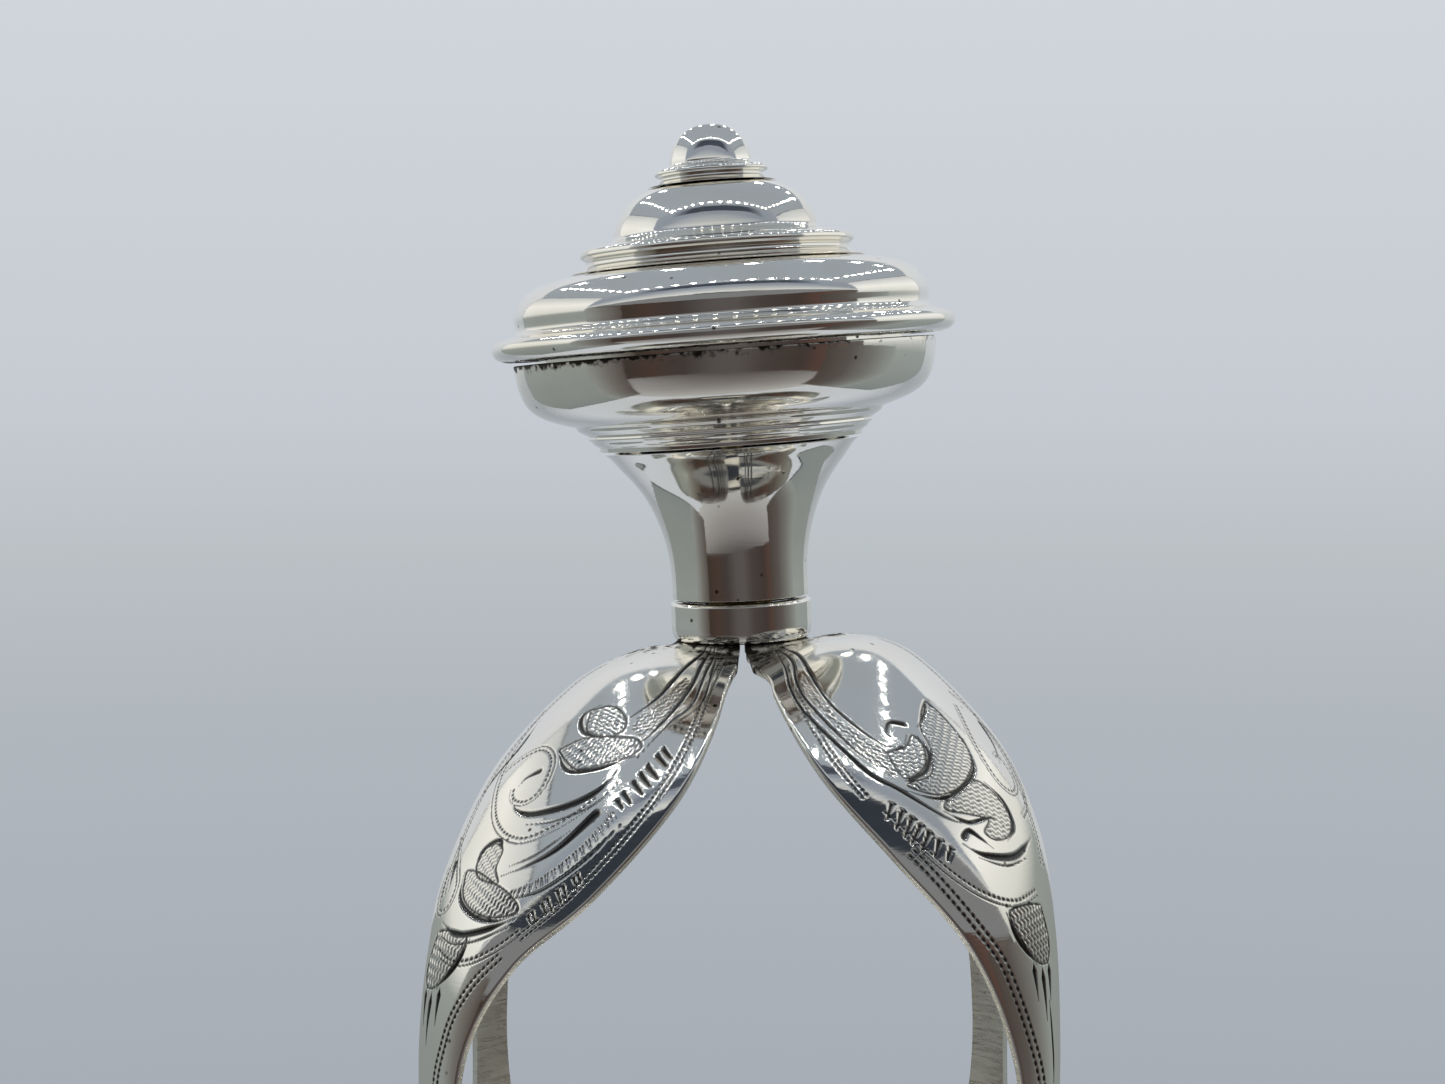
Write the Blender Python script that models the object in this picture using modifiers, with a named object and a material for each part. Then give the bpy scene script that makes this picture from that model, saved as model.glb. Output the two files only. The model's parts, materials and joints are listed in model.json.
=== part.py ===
"""Silver ciborium: a footed cup whose cover is a crown of four leaf-shaped arches.

The arches carry a small lidded bowl on a trumpet stem as the finial. Run it with
blender --background --python part.py, or from Blender's text editor.

Frame: +Z up, origin at the centre of the foot's underside, front at -Y. Lengths below are in
millimetres and are turned into metres where the meshes are made.
"""

import math

import bmesh
import bpy
from mathutils import Matrix, Vector

MM = 0.001

# Driving dimensions, in millimetres.
WALL = 1.0                # spun sheet
GAP = 0.3                 # air between pieces that touch on the real object
CUP_RIM_R = 46.0          # outer radius of the cup at its lip
CUP_RIM_Z = 165.0         # height of the lip over the table
CUP_DEPTH_OUTSIDE = 58.0  # lip to the cup's outer bottom
CUP_SQUARENESS = 2.2      # exponent of the cup's superellipse profile
FOOT_R = 54.0
ROD_R = 3.0
BORE_R = 3.4              # hole for the tie rod in the stem pieces
CIRCLET_R = 42.0          # outer radius of the crown's band
SEAT_Z = 173.0            # flat seat of the circlet on the cover plate
CIRCLET_TOP_Z = 183.5
CROWN_TOP_Z = 248.0       # where the arches meet, under the finial's collar
ARCH_WALL = 0.9
ARCH_FOOT_R = 43.4        # outer face of an arch where it laps the circlet
RIVET_Z = 180.0
COLLAR_R = 7.75
COLLAR_H = 4.4
STEM_TOP_H = 21.2         # finial heights are measured from the crown's top, along the finial
LID_RIM_R = 25.2
LID_RIM_H = 33.3          # middle of the lid's rim
COLLAR_LEAN_DEG = 2.0     # the old finial leans to -X at its collar
BOWL_LEAN_DEG = 4.3       # and more at its bowl and lid

FINE_STEPS = 24           # sides of a large turned piece
STEPS = 16                # sides of a small one
ARCH_ROWS = 18
ARCH_COLUMNS = 6

# Ridge of an arch from the crown's top to its foot: (radius, height over the crown's top,
# half width, half angle of the curved section, the section's tilt).
ARCH_FEET = [(43.4, -66.0, 3.8, 0.09, 0.0), (43.4, -70.4, 3.0, 0.07, 0.0)]
FRONT_LEFT = [
    (2.2, -0.7, 1.7, 0.06, 0.0), (5.2, -0.65, 4.7, 0.12, -0.02), (8.5, -0.6, 7.5, 0.22, -0.04),
    (16.4, -2.8, 11.7, 0.45, -0.01), (25.8, -10.6, 14.2, 0.47, 0.0), (34.6, -20.4, 11.4, 0.48, 0.0),
    (40.0, -28.3, 6.6, 0.42, 0.0), (43.0, -37.4, 3.5, 0.32, 0.0), (43.5, -49.0, 2.6, 0.20, 0.0),
    (43.4, -60.0, 2.9, 0.10, 0.0),
]
FRONT_RIGHT = [
    (2.2, -0.7, 1.7, 0.06, 0.0), (5.2, -0.55, 4.7, 0.12, 0.04), (8.5, 0.1, 7.5, 0.16, 0.16),
    (17.0, -0.1, 11.7, 0.46, 0.05), (27.3, -8.0, 14.2, 0.47, 0.0), (34.8, -17.0, 11.4, 0.48, 0.0),
    (39.6, -27.0, 6.6, 0.42, 0.0), (41.9, -38.0, 3.5, 0.32, 0.0), (42.3, -49.0, 2.6, 0.20, 0.0),
    (43.1, -60.0, 2.9, 0.10, 0.0),
]
BACK_LEFT = [
    (2.2, -1.0, 1.7, 0.06, 0.0), (8.0, -1.6, 7.1, 0.16, 0.0), (16.4, -5.2, 11.7, 0.40, 0.0),
    (25.8, -12.6, 14.2, 0.47, 0.0), (34.6, -21.6, 11.4, 0.48, 0.0), (40.5, -29.3, 6.6, 0.42, 0.0),
    (43.8, -38.4, 3.5, 0.32, 0.0), (44.4, -49.0, 2.6, 0.20, 0.0), (44.1, -58.0, 2.7, 0.10, 0.0),
]
BACK_RIGHT = [
    (2.2, -1.0, 1.7, 0.06, 0.0), (8.0, -1.3, 7.1, 0.16, 0.0), (17.0, -2.8, 11.7, 0.40, 0.0),
    (27.3, -10.4, 14.2, 0.47, 0.0), (35.4, -19.4, 11.4, 0.48, 0.0), (40.6, -28.6, 6.6, 0.42, 0.0),
    (43.6, -38.6, 3.5, 0.32, 0.0), (44.3, -49.0, 2.6, 0.20, 0.0), (44.1, -58.0, 2.7, 0.10, 0.0),
]
# Name, plan angle in degrees and ridge of each arch. They were bent by hand: the ones at -X are
# lower, and the ones at the back stand a little lower and wider than those in front.
ARCHES = [
    ("arch_front_left", -135.0, FRONT_LEFT),
    ("arch_back_left", 135.0, BACK_LEFT),
    ("arch_front_right", -45.0, FRONT_RIGHT),
    ("arch_back_right", 45.0, BACK_RIGHT),
]


# ---------------------------------------------------------------- helpers

def clear_scene():
    for old in list(bpy.data.objects):
        bpy.data.objects.remove(old)


def collection(name, shown=True):
    made = bpy.data.collections.new(name)
    bpy.context.scene.collection.children.link(made)
    made.hide_render = not shown
    return made


def metal(name, colour, roughness):
    made = bpy.data.materials.new(name)
    made.use_nodes = True
    shader = made.node_tree.nodes["Principled BSDF"]
    shader.inputs["Base Color"].default_value = (*colour, 1.0)
    shader.inputs["Metallic"].default_value = 1.0
    shader.inputs["Roughness"].default_value = roughness
    return made


def smooth(points, per_span):
    """Points on a Catmull-Rom curve through the given ones, which may hold any values."""
    ends = [points[0], *points, points[-1]]
    found = []
    for a, b, c, d in zip(ends, ends[1:], ends[2:], ends[3:]):
        for k in range(per_span):
            t = k / per_span
            found.append(tuple(
                0.5 * (2 * q + (r - p) * t + (2 * p - 5 * q + 4 * r - s) * t * t
                       + (3 * q - p - 3 * r + s) * t ** 3)
                for p, q, r, s in zip(a, b, c, d)
            ))
    return [*found, tuple(points[-1])]


def inside_of(outer, wall):
    """The outline moved inwards by the wall. The outer one runs from top to bottom."""
    found = []
    for k, (r, z) in enumerate(outer):
        before = outer[max(k - 1, 0)]
        after = outer[min(k + 1, len(outer) - 1)]
        dr, dz = after[0] - before[0], after[1] - before[1]
        length = math.hypot(dr, dz)
        found.append((max(r + dz / length * wall, 0.0), z - dr / length * wall))
    return found


def half_round(r, z, size, bore, count=4):
    """Outline of a ring with a half-round outside, from its top to its bottom."""
    turn = [math.pi / 2 - math.pi * k / count for k in range(count + 1)]
    outside = [(r + size * math.cos(a), z + size * math.sin(a)) for a in turn]
    return [(bore, z + size), *outside, (bore, z - size)]


def turned(name, outline, material, group, steps=STEPS, closed=True):
    """A turned piece. A closed outline stays off the axis; an open one starts and ends on it."""
    mesh = bpy.data.meshes.new(name)
    points = [(r * MM, 0.0, z * MM) for r, z in outline]
    edges = [(k, k + 1) for k in range(len(points) - 1)]
    if closed:
        edges.append((len(points) - 1, 0))
    mesh.from_pydata(points, edges, [])
    mesh.materials.append(material)
    made = bpy.data.objects.new(name, mesh)
    group.objects.link(made)
    screw = made.modifiers.new("turn", "SCREW")
    screw.steps = screw.render_steps = steps
    screw.use_merge_vertices = True
    screw.merge_threshold = 0.00001
    screw.use_smooth_shade = True
    return made


def as_mesh(made):
    """The object's modifiers applied to its own mesh."""
    graph = bpy.context.evaluated_depsgraph_get()
    made_mesh = bpy.data.meshes.new_from_object(made.evaluated_get(graph))
    made.modifiers.clear()
    made.data = made_mesh
    return made


def cylinder(name, r, start, end, material, group, sides=24):
    """A solid cylinder of radius r between two points, in millimetres."""
    start, end = Vector(start) * MM, Vector(end) * MM
    along = end - start
    mesh = bpy.data.meshes.new(name)
    bm = bmesh.new()
    bmesh.ops.create_cone(
        bm, cap_ends=True, segments=sides, radius1=r * MM, radius2=r * MM, depth=along.length)
    bm.to_mesh(mesh)
    bm.free()
    mesh.materials.append(material)
    made = bpy.data.objects.new(name, mesh)
    made.matrix_world = (
        Matrix.Translation((start + end) / 2) @ along.to_track_quat("Z", "Y").to_matrix().to_4x4())
    group.objects.link(made)
    return made


def cut(made, cutter):
    boolean = made.modifiers.new("cut", "BOOLEAN")
    boolean.object = cutter
    boolean.operation = "DIFFERENCE"


# ---------------------------------------------------------------- foot and stem

def foot(silver, group):
    rim = [(50.4, 5.0), (52.0, 4.7), (53.3, 3.6), (FOOT_R, 2.2), (FOOT_R, 0.0), (50.0, 0.0),
           (50.0, 4.7)]
    turned("foot_rim_ring", rim, silver, group, FINE_STEPS)
    outer = [
        (9.0, 34.0), (9.6, 29.5), (12.5, 24.5), (18.5, 20.6), (26.5, 18.2), (33.5, 15.6),
        (37.6, 12.0), (40.6, 9.0), (44.6, 7.4), (48.2, 6.8), (49.6, 5.9), (49.6, 1.0),
    ]
    turned("foot_dome", outer + inside_of(outer, WALL)[::-1], silver, group, FINE_STEPS)
    turned("foot_neck_ring", half_round(9.2, 36.3, 2.0, BORE_R), silver, group)


def stem(silver, brass, group, cutters):
    lower = [(7.6, 54.7), (6.4, 52.4), (5.7, 48.0), (5.9, 44.0), (7.0, 40.6), (9.0, 38.6)]
    turned("stem_lower", [(BORE_R, 54.7), *lower, (BORE_R, 38.6)], silver, group)
    turned("knop_lower_ring", half_round(8.6, 56.25, 1.25, BORE_R), silver, group)
    egg = [(7.0, 80.2), (11.6, 77.8), (14.9, 73.4), (15.7, 68.6), (14.0, 63.4), (10.6, 59.8),
           (7.0, 57.8)]
    turned("knop", egg + inside_of(egg, WALL)[::-1], silver, group)
    turned("knop_upper_ring", half_round(8.6, 81.75, 1.25, BORE_R), silver, group)
    upper = [(9.4, 101.0), (7.4, 98.4), (6.1, 93.6), (5.7, 88.6), (6.3, 85.4), (7.8, 83.3)]
    turned("stem_upper", [(BORE_R, 101.0), *upper, (BORE_R, 83.3)], silver, group)

    cylinder("tie_rod", ROD_R, (0, 0, 16.0), (0, 0, 106.4), brass, group)
    washer = [(9.4, 25.0), (9.4, 23.6), (BORE_R, 23.6), (BORE_R, 25.0)]
    turned("tie_washer", washer, brass, group)
    nut = cylinder("tie_nut", 5.8, (0, 0, 18.3), (0, 0, 23.3), brass, group, sides=6)
    bore = cylinder("tie_nut_bore", BORE_R, (0, 0, 17.0), (0, 0, 24.5), brass, cutters)
    bore.display_type = "WIRE"
    bore.hide_render = True
    cut(nut, bore)


# ---------------------------------------------------------------- cup

def cup_outline(extra=0.0, from_z=None, count=10):
    """The cup's outer side moved out by extra, from the lip or from a height to the axis."""
    top = CUP_RIM_Z if from_z is None else from_z
    start = math.asin(min(1.0, ((CUP_RIM_Z - top) / CUP_DEPTH_OUTSIDE) ** (CUP_SQUARENESS / 2)))
    found = []
    for k in range(count + 1):
        a = start + (math.pi / 2 - start) * k / count
        r = CUP_RIM_R * math.cos(a) ** (2 / CUP_SQUARENESS) if k < count else 0.0
        z = CUP_RIM_Z - CUP_DEPTH_OUTSIDE * math.sin(a) ** (2 / CUP_SQUARENESS)
        found.append((r, z))
    moved = inside_of(found, -extra) if extra else found
    return [*moved[:-1], (0.0, moved[-1][1])]


def cup(silver, group):
    outer = cup_outline()
    inner = cup_outline(-WALL)
    inner[0] = (inner[0][0], CUP_RIM_Z)
    turned("cup", inner[::-1] + outer, silver, group, FINE_STEPS, closed=False)
    lip = half_round(CUP_RIM_R + 0.6, CUP_RIM_Z - 2.4, 1.3, CUP_RIM_R + GAP)
    turned("cup_lip_ring", lip, silver, group, FINE_STEPS)
    boss = [(7.6, 106.4), (7.6, 104.2), (BORE_R, 104.2), (BORE_R, 106.4)]
    turned("cup_boss", boss, silver, group)


def calyx(silver, group):
    """The shallow dish that the cup stands in."""
    top = 128.0
    inner = [p for p in cup_outline(GAP + 0.1, top, 6) if p[0] > 9.0]
    outer = [p for p in cup_outline(GAP + 1.2, top, 6) if p[0] > 12.0]
    base = [(10.6, 103.6), (9.6, 101.3), (BORE_R, 101.3), (BORE_R, 103.9), (8.4, 103.9)]
    turned("calyx", outer + base + inner[::-1], silver, group, FINE_STEPS)


# ---------------------------------------------------------------- cover

def cover_base(silver, group):
    seat_inner = CUP_RIM_R - WALL - 0.4 - WALL
    seat = [(seat_inner + WALL, CUP_RIM_Z), (seat_inner + WALL, 157.6), (seat_inner, 157.0),
            (seat_inner, CUP_RIM_Z)]
    turned("cover_seat_ring", seat, silver, group, FINE_STEPS)
    dome = [(0.0, 181.0), (13.0, 180.3), (26.0, 178.0), (36.0, 174.6), (39.6, 173.2)]
    ogee = [(45.2, 172.8), (45.7, 171.4), (47.0, 169.9), (49.0, 169.0)]
    lip = [(50.4, 168.2), (50.8, 167.1), (50.4, 165.9), (49.2, 165.3)]
    under = [(42.8, 165.3), (42.8, 171.6), (39.4, 172.0)]
    ceiling = [(r, z - WALL) for r, z in dome[:-1]][::-1]
    outline = [*dome, (40.4, SEAT_Z), (44.9, SEAT_Z), *ogee, *lip, *under, *ceiling]
    turned("cover_plate", outline, silver, group, FINE_STEPS, closed=False)


def circlet(silver, group, cutters):
    low, high = SEAT_Z + GAP, CIRCLET_TOP_Z
    band = [(CIRCLET_R, high), (CIRCLET_R, low), (CIRCLET_R - WALL, low), (CIRCLET_R - WALL, high)]
    made = turned("circlet_band", band, silver, group, FINE_STEPS)
    turned("circlet_base_wire", half_round(CIRCLET_R + 1.1, SEAT_Z + 1.5, 1.1, CIRCLET_R + GAP),
           silver, group, FINE_STEPS)
    wire = [(CIRCLET_R - 0.5 + 0.7 * math.sin(a), high + 1.0 + 0.7 * math.cos(a))
            for a in (math.tau * k / 6 for k in range(6))]
    turned("circlet_top_wire", wire, silver, group, FINE_STEPS)
    for name, angle, _ in ARCHES:
        cut(made, rivet_cutter(name, angle, silver, cutters))


def rivet_cutter(name, angle, material, cutters):
    """The hole that an arch's rivet passes through, in the circlet and in the arch."""
    hole = "hole_" + name
    if hole in bpy.data.objects:
        return bpy.data.objects[hole]
    a = math.radians(angle)
    inside, outside = CIRCLET_R - 4.0, ARCH_FOOT_R + 4.0
    made = cylinder(hole, 1.3, (inside * math.cos(a), inside * math.sin(a), RIVET_Z),
                    (outside * math.cos(a), outside * math.sin(a), RIVET_Z), material, cutters, 12)
    made.display_type = "WIRE"
    made.hide_render = True
    return made


def rivet(name, angle, silver, group):
    """A round-headed rivet lying along the radius, its axis turned from +Z."""
    back, front = CIRCLET_R - WALL - GAP, ARCH_FOOT_R + GAP
    outline = [(0.0, front + 0.8), (0.9, front + 0.7), (1.6, front + 0.35), (1.9, front),
               (0.95, front), (0.95, back), (1.7, back), (1.5, back - 0.5), (0.0, back - 0.6)]
    made = turned(name, outline, silver, group, 16, closed=False)
    made.matrix_world = (
        Matrix.Translation((0, 0, RIVET_Z * MM)) @ Matrix.Rotation(math.radians(angle), 4, "Z")
        @ Matrix.Rotation(math.pi / 2, 4, "Y"))


def arch_point(station, across):
    """A point of an arch's outer face. across runs from -1 to 1 over its curved section."""
    r, z, half_width, half_angle, tilt, out_r, out_z = station
    section_r = half_width / math.sin(half_angle)
    drop = section_r * (1 - math.cos(across * half_angle))
    side = section_r * math.sin(across * half_angle)
    up = side * math.sin(tilt) - drop * math.cos(tilt)
    side = side * math.cos(tilt) + drop * math.sin(tilt)
    return Vector((r + out_r * up, side, CROWN_TOP_Z + z + out_z * up)) * MM


def arch_stations(ridge):
    """The ridge, evenly drawn, with its outward normal at each station."""
    fine = smooth(ridge + ARCH_FEET, 8)
    picked = [fine[round(k * (len(fine) - 1) / ARCH_ROWS)] for k in range(ARCH_ROWS + 1)]
    found = []
    for k, here in enumerate(picked):
        before, after = picked[max(k - 1, 0)], picked[min(k + 1, ARCH_ROWS)]
        along_r, along_z = after[0] - before[0], after[1] - before[1]
        length = math.hypot(along_r, along_z)
        found.append((*here, -along_z / length, along_r / length))
    return found


def arch(name, angle, ridge, silver, group, cutters):
    """A leaf-shaped strip: a loft of curved sections along the ridge, thickened inwards."""
    bm = bmesh.new()
    rows = [
        [bm.verts.new(arch_point(s, 2 * j / ARCH_COLUMNS - 1)) for j in range(ARCH_COLUMNS + 1)]
        for s in arch_stations(ridge)
    ]
    for upper, lower in zip(rows, rows[1:]):
        for j in range(ARCH_COLUMNS):
            bm.faces.new((upper[j], lower[j], lower[j + 1], upper[j + 1]))
    mesh = bpy.data.meshes.new(name)
    bm.to_mesh(mesh)
    bm.free()
    mesh.materials.append(silver)
    mesh.shade_smooth()
    made = bpy.data.objects.new(name, mesh)
    made.rotation_euler.z = math.radians(angle)
    group.objects.link(made)
    thick = made.modifiers.new("sheet", "SOLIDIFY")
    thick.thickness = ARCH_WALL * MM
    thick.offset = -1.0
    cut(made, rivet_cutter(name, angle, silver, cutters))


# ---------------------------------------------------------------- finial

def lean_at(h):
    """The finial's lean in radians at a height along it."""
    share = min(max(h / STEM_TOP_H, 0.0), 1.0)
    return math.radians(COLLAR_LEAN_DEG + (BOWL_LEAN_DEG - COLLAR_LEAN_DEG) * share)


def finial_frame(h):
    """Where the finial's bent centreline is at a height along it, as a matrix in metres."""
    start, bowl = math.radians(COLLAR_LEAN_DEG), math.radians(BOWL_LEAN_DEG)
    bend_r = STEM_TOP_H / (bowl - start)
    bent = lean_at(h)
    x = bend_r * (math.cos(bent) - math.cos(start))
    z = bend_r * (math.sin(bent) - math.sin(start))
    past = h - min(max(h, 0.0), STEM_TOP_H)
    x -= past * math.sin(bent)
    z += past * math.cos(bent)
    place = Matrix.Translation(Vector((x, 0.0, CROWN_TOP_Z + z)) * MM)
    return place @ Matrix.Rotation(-bent, 4, "Y")


def leaned(made):
    """Bends a piece, turned upright from height 0, onto the finial's centreline.

    The piece's own origin goes to that line, at the height of its lowest point."""
    made = as_mesh(made)
    place = finial_frame(min(v.co.z for v in made.data.vertices) / MM)
    for vertex in made.data.vertices:
        x, y, z = vertex.co
        vertex.co = place.inverted() @ finial_frame(z / MM) @ Vector((x, y, 0.0))
    made.matrix_world = place


def finial_collar_and_stem(silver, group):
    bore = 6.0
    ring = [(COLLAR_R - 0.4, COLLAR_H), (COLLAR_R, COLLAR_H - 0.4), (COLLAR_R, 0.5),
            (COLLAR_R - 0.5, 0.0), (bore, 0.0), (bore, COLLAR_H)]
    leaned(turned("finial_collar", ring, silver, group))
    flare = [(13.9, STEM_TOP_H), (12.6, 19.9), (11.0, 18.0), (9.9, 16.4), (9.1, 14.9),
             (8.4, 13.1), (7.85, 11.1), (7.55, 9.0), (7.45, 6.4), (7.45, COLLAR_H + GAP)]
    inner = [(r, min(z, STEM_TOP_H)) for r, z in inside_of(flare, WALL)]
    leaned(turned("finial_stem", flare + inner[::-1], silver, group))


def finial_fixing(silver, brass, group, cutters):
    """The rod and nut that hold the finial, on a plug in its collar that the arches meet under."""
    plug = [(1.5, 2.6), (5.3, 2.6), (5.7, 2.2), (5.7, 0.2), (1.5, 0.2)]
    leaned(turned("crown_boss", plug, silver, group))
    low, high = finial_frame(0.4).translation / MM, finial_frame(22.3).translation / MM
    cylinder("finial_rod", 1.2, low, high, brass, group, sides=12)
    nut = cylinder("finial_nut", 3.4, finial_frame(2.9).translation / MM,
                   finial_frame(5.3).translation / MM, brass, group, sides=6)
    bore = cylinder("finial_nut_bore", 1.55, low, finial_frame(6.5).translation / MM,
                    brass, cutters, 12)
    bore.display_type = "WIRE"
    bore.hide_render = True
    cut(nut, bore)


def finial_bowl(silver, group):
    rim = LID_RIM_H
    outer = [
        (21.8, rim - 1.8), (22.0, rim - 2.6), (22.8, rim - 2.9), (22.6, rim - 4.7),
        (21.6, rim - 6.3), (20.1, rim - 7.5), (18.4, rim - 8.4), (16.6, rim - 9.0),
        (16.2, rim - 9.9), (15.3, rim - 10.3), (15.1, rim - 11.0), (14.6, rim - 11.6),
        (14.2, STEM_TOP_H + GAP),
    ]
    inner = [(20.8, rim - 1.8), (20.8, rim - 4.6), (19.4, rim - 6.4), (16.0, rim - 7.9),
             (8.0, rim - 8.8), (0.0, rim - 9.0)]
    under = [(8.0, rim - 10.4), (0.0, rim - 10.5)]
    outline = [*inner[::-1], *outer, *under]
    leaned(turned("finial_bowl", outline, silver, group, FINE_STEPS, closed=False))


def finial_lid(silver, group):
    rim = LID_RIM_H
    band = [(24.7, rim + 0.9), (LID_RIM_R, rim + 0.2), (LID_RIM_R, rim - 0.7), (24.7, rim - 1.4),
            (23.2, rim - 1.4), (23.2, rim + 1.3)]
    leaned(turned("lid_rim_ring", band, silver, group, FINE_STEPS))
    lower = [
        (13.2, rim + 7.7), (15.5, rim + 7.4), (17.6, rim + 7.1), (19.6, rim + 6.5),
        (21.2, rim + 5.7), (22.2, rim + 4.7), (22.6, rim + 3.4), (22.6, rim + 2.2), (22.9, rim + 1.5),
        (22.9, rim - 1.3),
    ]
    lower_inner = [(21.9, rim - 1.3), (21.5, rim + 4.0), (19.2, rim + 5.6), (15.2, rim + 6.5),
                   (13.2, rim + 6.7)]
    leaned(turned("lid_lower_dome", lower + lower_inner, silver, group, FINE_STEPS))
    seat = [(20.4, rim + 3.4), (20.4, rim - 3.4), (19.6, rim - 3.4), (19.6, rim + 3.4)]
    leaned(turned("lid_seat_ring", seat, silver, group, FINE_STEPS))
    middle = [
        (4.4, rim + 16.6), (5.3, rim + 16.5), (6.9, rim + 16.0), (9.0, rim + 14.8), (10.3, rim + 13.1),
        (10.9, rim + 11.8), (10.8, rim + 11.0), (11.6, rim + 10.5), (13.6, rim + 9.9),
        (14.6, rim + 9.4), (14.75, rim + 8.9), (14.3, rim + 8.3), (13.6, rim + 8.0),
        (9.4, rim + 8.0), (9.2, rim + 12.4), (7.0, rim + 14.8), (4.4, rim + 15.5),
    ]
    leaned(turned("lid_middle_dome", middle, silver, group))
    knob = [
        (0.0, rim + 22.8), (1.4, rim + 22.65), (2.6, rim + 22.2), (3.6, rim + 21.3), (4.2, rim + 20.2),
        (4.4, rim + 19.0), (4.4, rim + 18.5), (5.2, rim + 18.2), (5.9, rim + 17.9), (6.2, rim + 17.4),
        (5.8, rim + 17.0), (0.0, rim + 17.0),
    ]
    leaned(turned("lid_knob", knob, silver, group, closed=False))


# ---------------------------------------------------------------- build

def build():
    clear_scene()
    group = collection("ciborium")
    cutters = collection("cutters", shown=False)
    silver = metal("polished_silver", (0.90, 0.89, 0.86), 0.08)
    brass = metal("brass", (0.75, 0.60, 0.30), 0.35)
    foot(silver, group)
    stem(silver, brass, group, cutters)
    cup(silver, group)
    calyx(silver, group)
    cover_base(silver, group)
    circlet(silver, group, cutters)
    for name, angle, ridge in ARCHES:
        arch(name, angle, ridge, silver, group, cutters)
        rivet(name.replace("arch", "rivet"), angle, silver, group)
    finial_collar_and_stem(silver, group)
    finial_fixing(silver, brass, group, cutters)
    finial_bowl(silver, group)
    finial_lid(silver, group)


build()
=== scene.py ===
import json
import math

import bpy
import numpy as np
from mathutils import Matrix, Vector

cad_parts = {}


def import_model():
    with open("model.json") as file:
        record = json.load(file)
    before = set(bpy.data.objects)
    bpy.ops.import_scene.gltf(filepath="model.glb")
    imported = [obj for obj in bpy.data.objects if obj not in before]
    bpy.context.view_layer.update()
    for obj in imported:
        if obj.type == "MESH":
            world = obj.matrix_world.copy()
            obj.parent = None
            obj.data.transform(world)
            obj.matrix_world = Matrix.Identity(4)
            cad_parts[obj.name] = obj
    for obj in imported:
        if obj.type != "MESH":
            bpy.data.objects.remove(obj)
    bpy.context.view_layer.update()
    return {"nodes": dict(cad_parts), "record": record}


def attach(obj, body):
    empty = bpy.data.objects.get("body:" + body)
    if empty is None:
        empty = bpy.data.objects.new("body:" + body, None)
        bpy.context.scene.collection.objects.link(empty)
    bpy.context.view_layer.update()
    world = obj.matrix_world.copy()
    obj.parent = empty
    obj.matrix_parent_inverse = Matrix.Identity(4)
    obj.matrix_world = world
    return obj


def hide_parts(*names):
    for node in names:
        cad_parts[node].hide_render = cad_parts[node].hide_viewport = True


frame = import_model()

record = frame["record"]
BODIES = {node: body for body, nodes in record["behaviour"]["bodies"].items() for node in nodes}

# Lengths are in millimetres, and heights over the table, unless a comment says otherwise.
MM = 0.001
CUP_RIM_R = 46.0
CUP_RIM_Z = 165.0
CUP_DEPTH = 58.0
CUP_SQUARENESS = 2.2      # 2 is an ellipse, and more is fuller
CUP_CENTRE_Z = 150        # faces that look towards this place are the cup's inside
CALYX_TOP_Z = 128.0
FOOT_R = 54.0
BORE_R = 3.4
CIRCLET_R = 42.0
SEAT_Z = 173.0
CIRCLET_TOP_Z = 183.5
CROWN_TOP_Z = 248.0
ARCH_WALL = 0.9
ARCH_FOOT_R = 43.4
RIVET_Z = 180.0
COLLAR_LEAN_DEG = 2.0
BOWL_LEAN_DEG = 4.3
STEM_TOP_H = 21.2
LID_RIM_H = 33.3

# Ridge of an arch: (radius, height over the crown's top, half width, half angle of its curved
# section, the section's tilt).
ARCH_FEET = [(43.4, -66.0, 3.8, 0.09, 0.0), (43.4, -70.4, 3.0, 0.07, 0.0)]
FRONT_LEFT = [
    (2.2, -0.7, 1.7, 0.06, 0.0), (5.2, -0.65, 4.7, 0.12, -0.02), (8.5, -0.6, 7.5, 0.22, -0.04),
    (16.4, -2.8, 11.7, 0.45, -0.01), (25.8, -10.6, 14.2, 0.47, 0.0), (34.6, -20.4, 11.4, 0.48, 0.0),
    (40.0, -28.3, 6.6, 0.42, 0.0), (43.0, -37.4, 3.5, 0.32, 0.0), (43.5, -49.0, 2.6, 0.20, 0.0),
    (43.4, -60.0, 2.9, 0.10, 0.0),
]
FRONT_RIGHT = [
    (2.2, -0.7, 1.7, 0.06, 0.0), (5.2, -0.55, 4.7, 0.12, 0.04), (8.5, 0.1, 7.5, 0.16, 0.16),
    (17.0, -0.1, 11.7, 0.46, 0.05), (27.3, -8.0, 14.2, 0.47, 0.0), (34.8, -17.0, 11.4, 0.48, 0.0),
    (39.6, -27.0, 6.6, 0.42, 0.0), (41.9, -38.0, 3.5, 0.32, 0.0), (42.3, -49.0, 2.6, 0.20, 0.0),
    (43.1, -60.0, 2.9, 0.10, 0.0),
]
BACK_LEFT = [
    (2.2, -1.0, 1.7, 0.06, 0.0), (8.0, -1.6, 7.1, 0.16, 0.0), (16.4, -5.2, 11.7, 0.40, 0.0),
    (25.8, -12.6, 14.2, 0.47, 0.0), (34.6, -21.6, 11.4, 0.48, 0.0), (40.5, -29.3, 6.6, 0.42, 0.0),
    (43.8, -38.4, 3.5, 0.32, 0.0), (44.4, -49.0, 2.6, 0.20, 0.0), (44.1, -58.0, 2.7, 0.10, 0.0),
]
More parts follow.
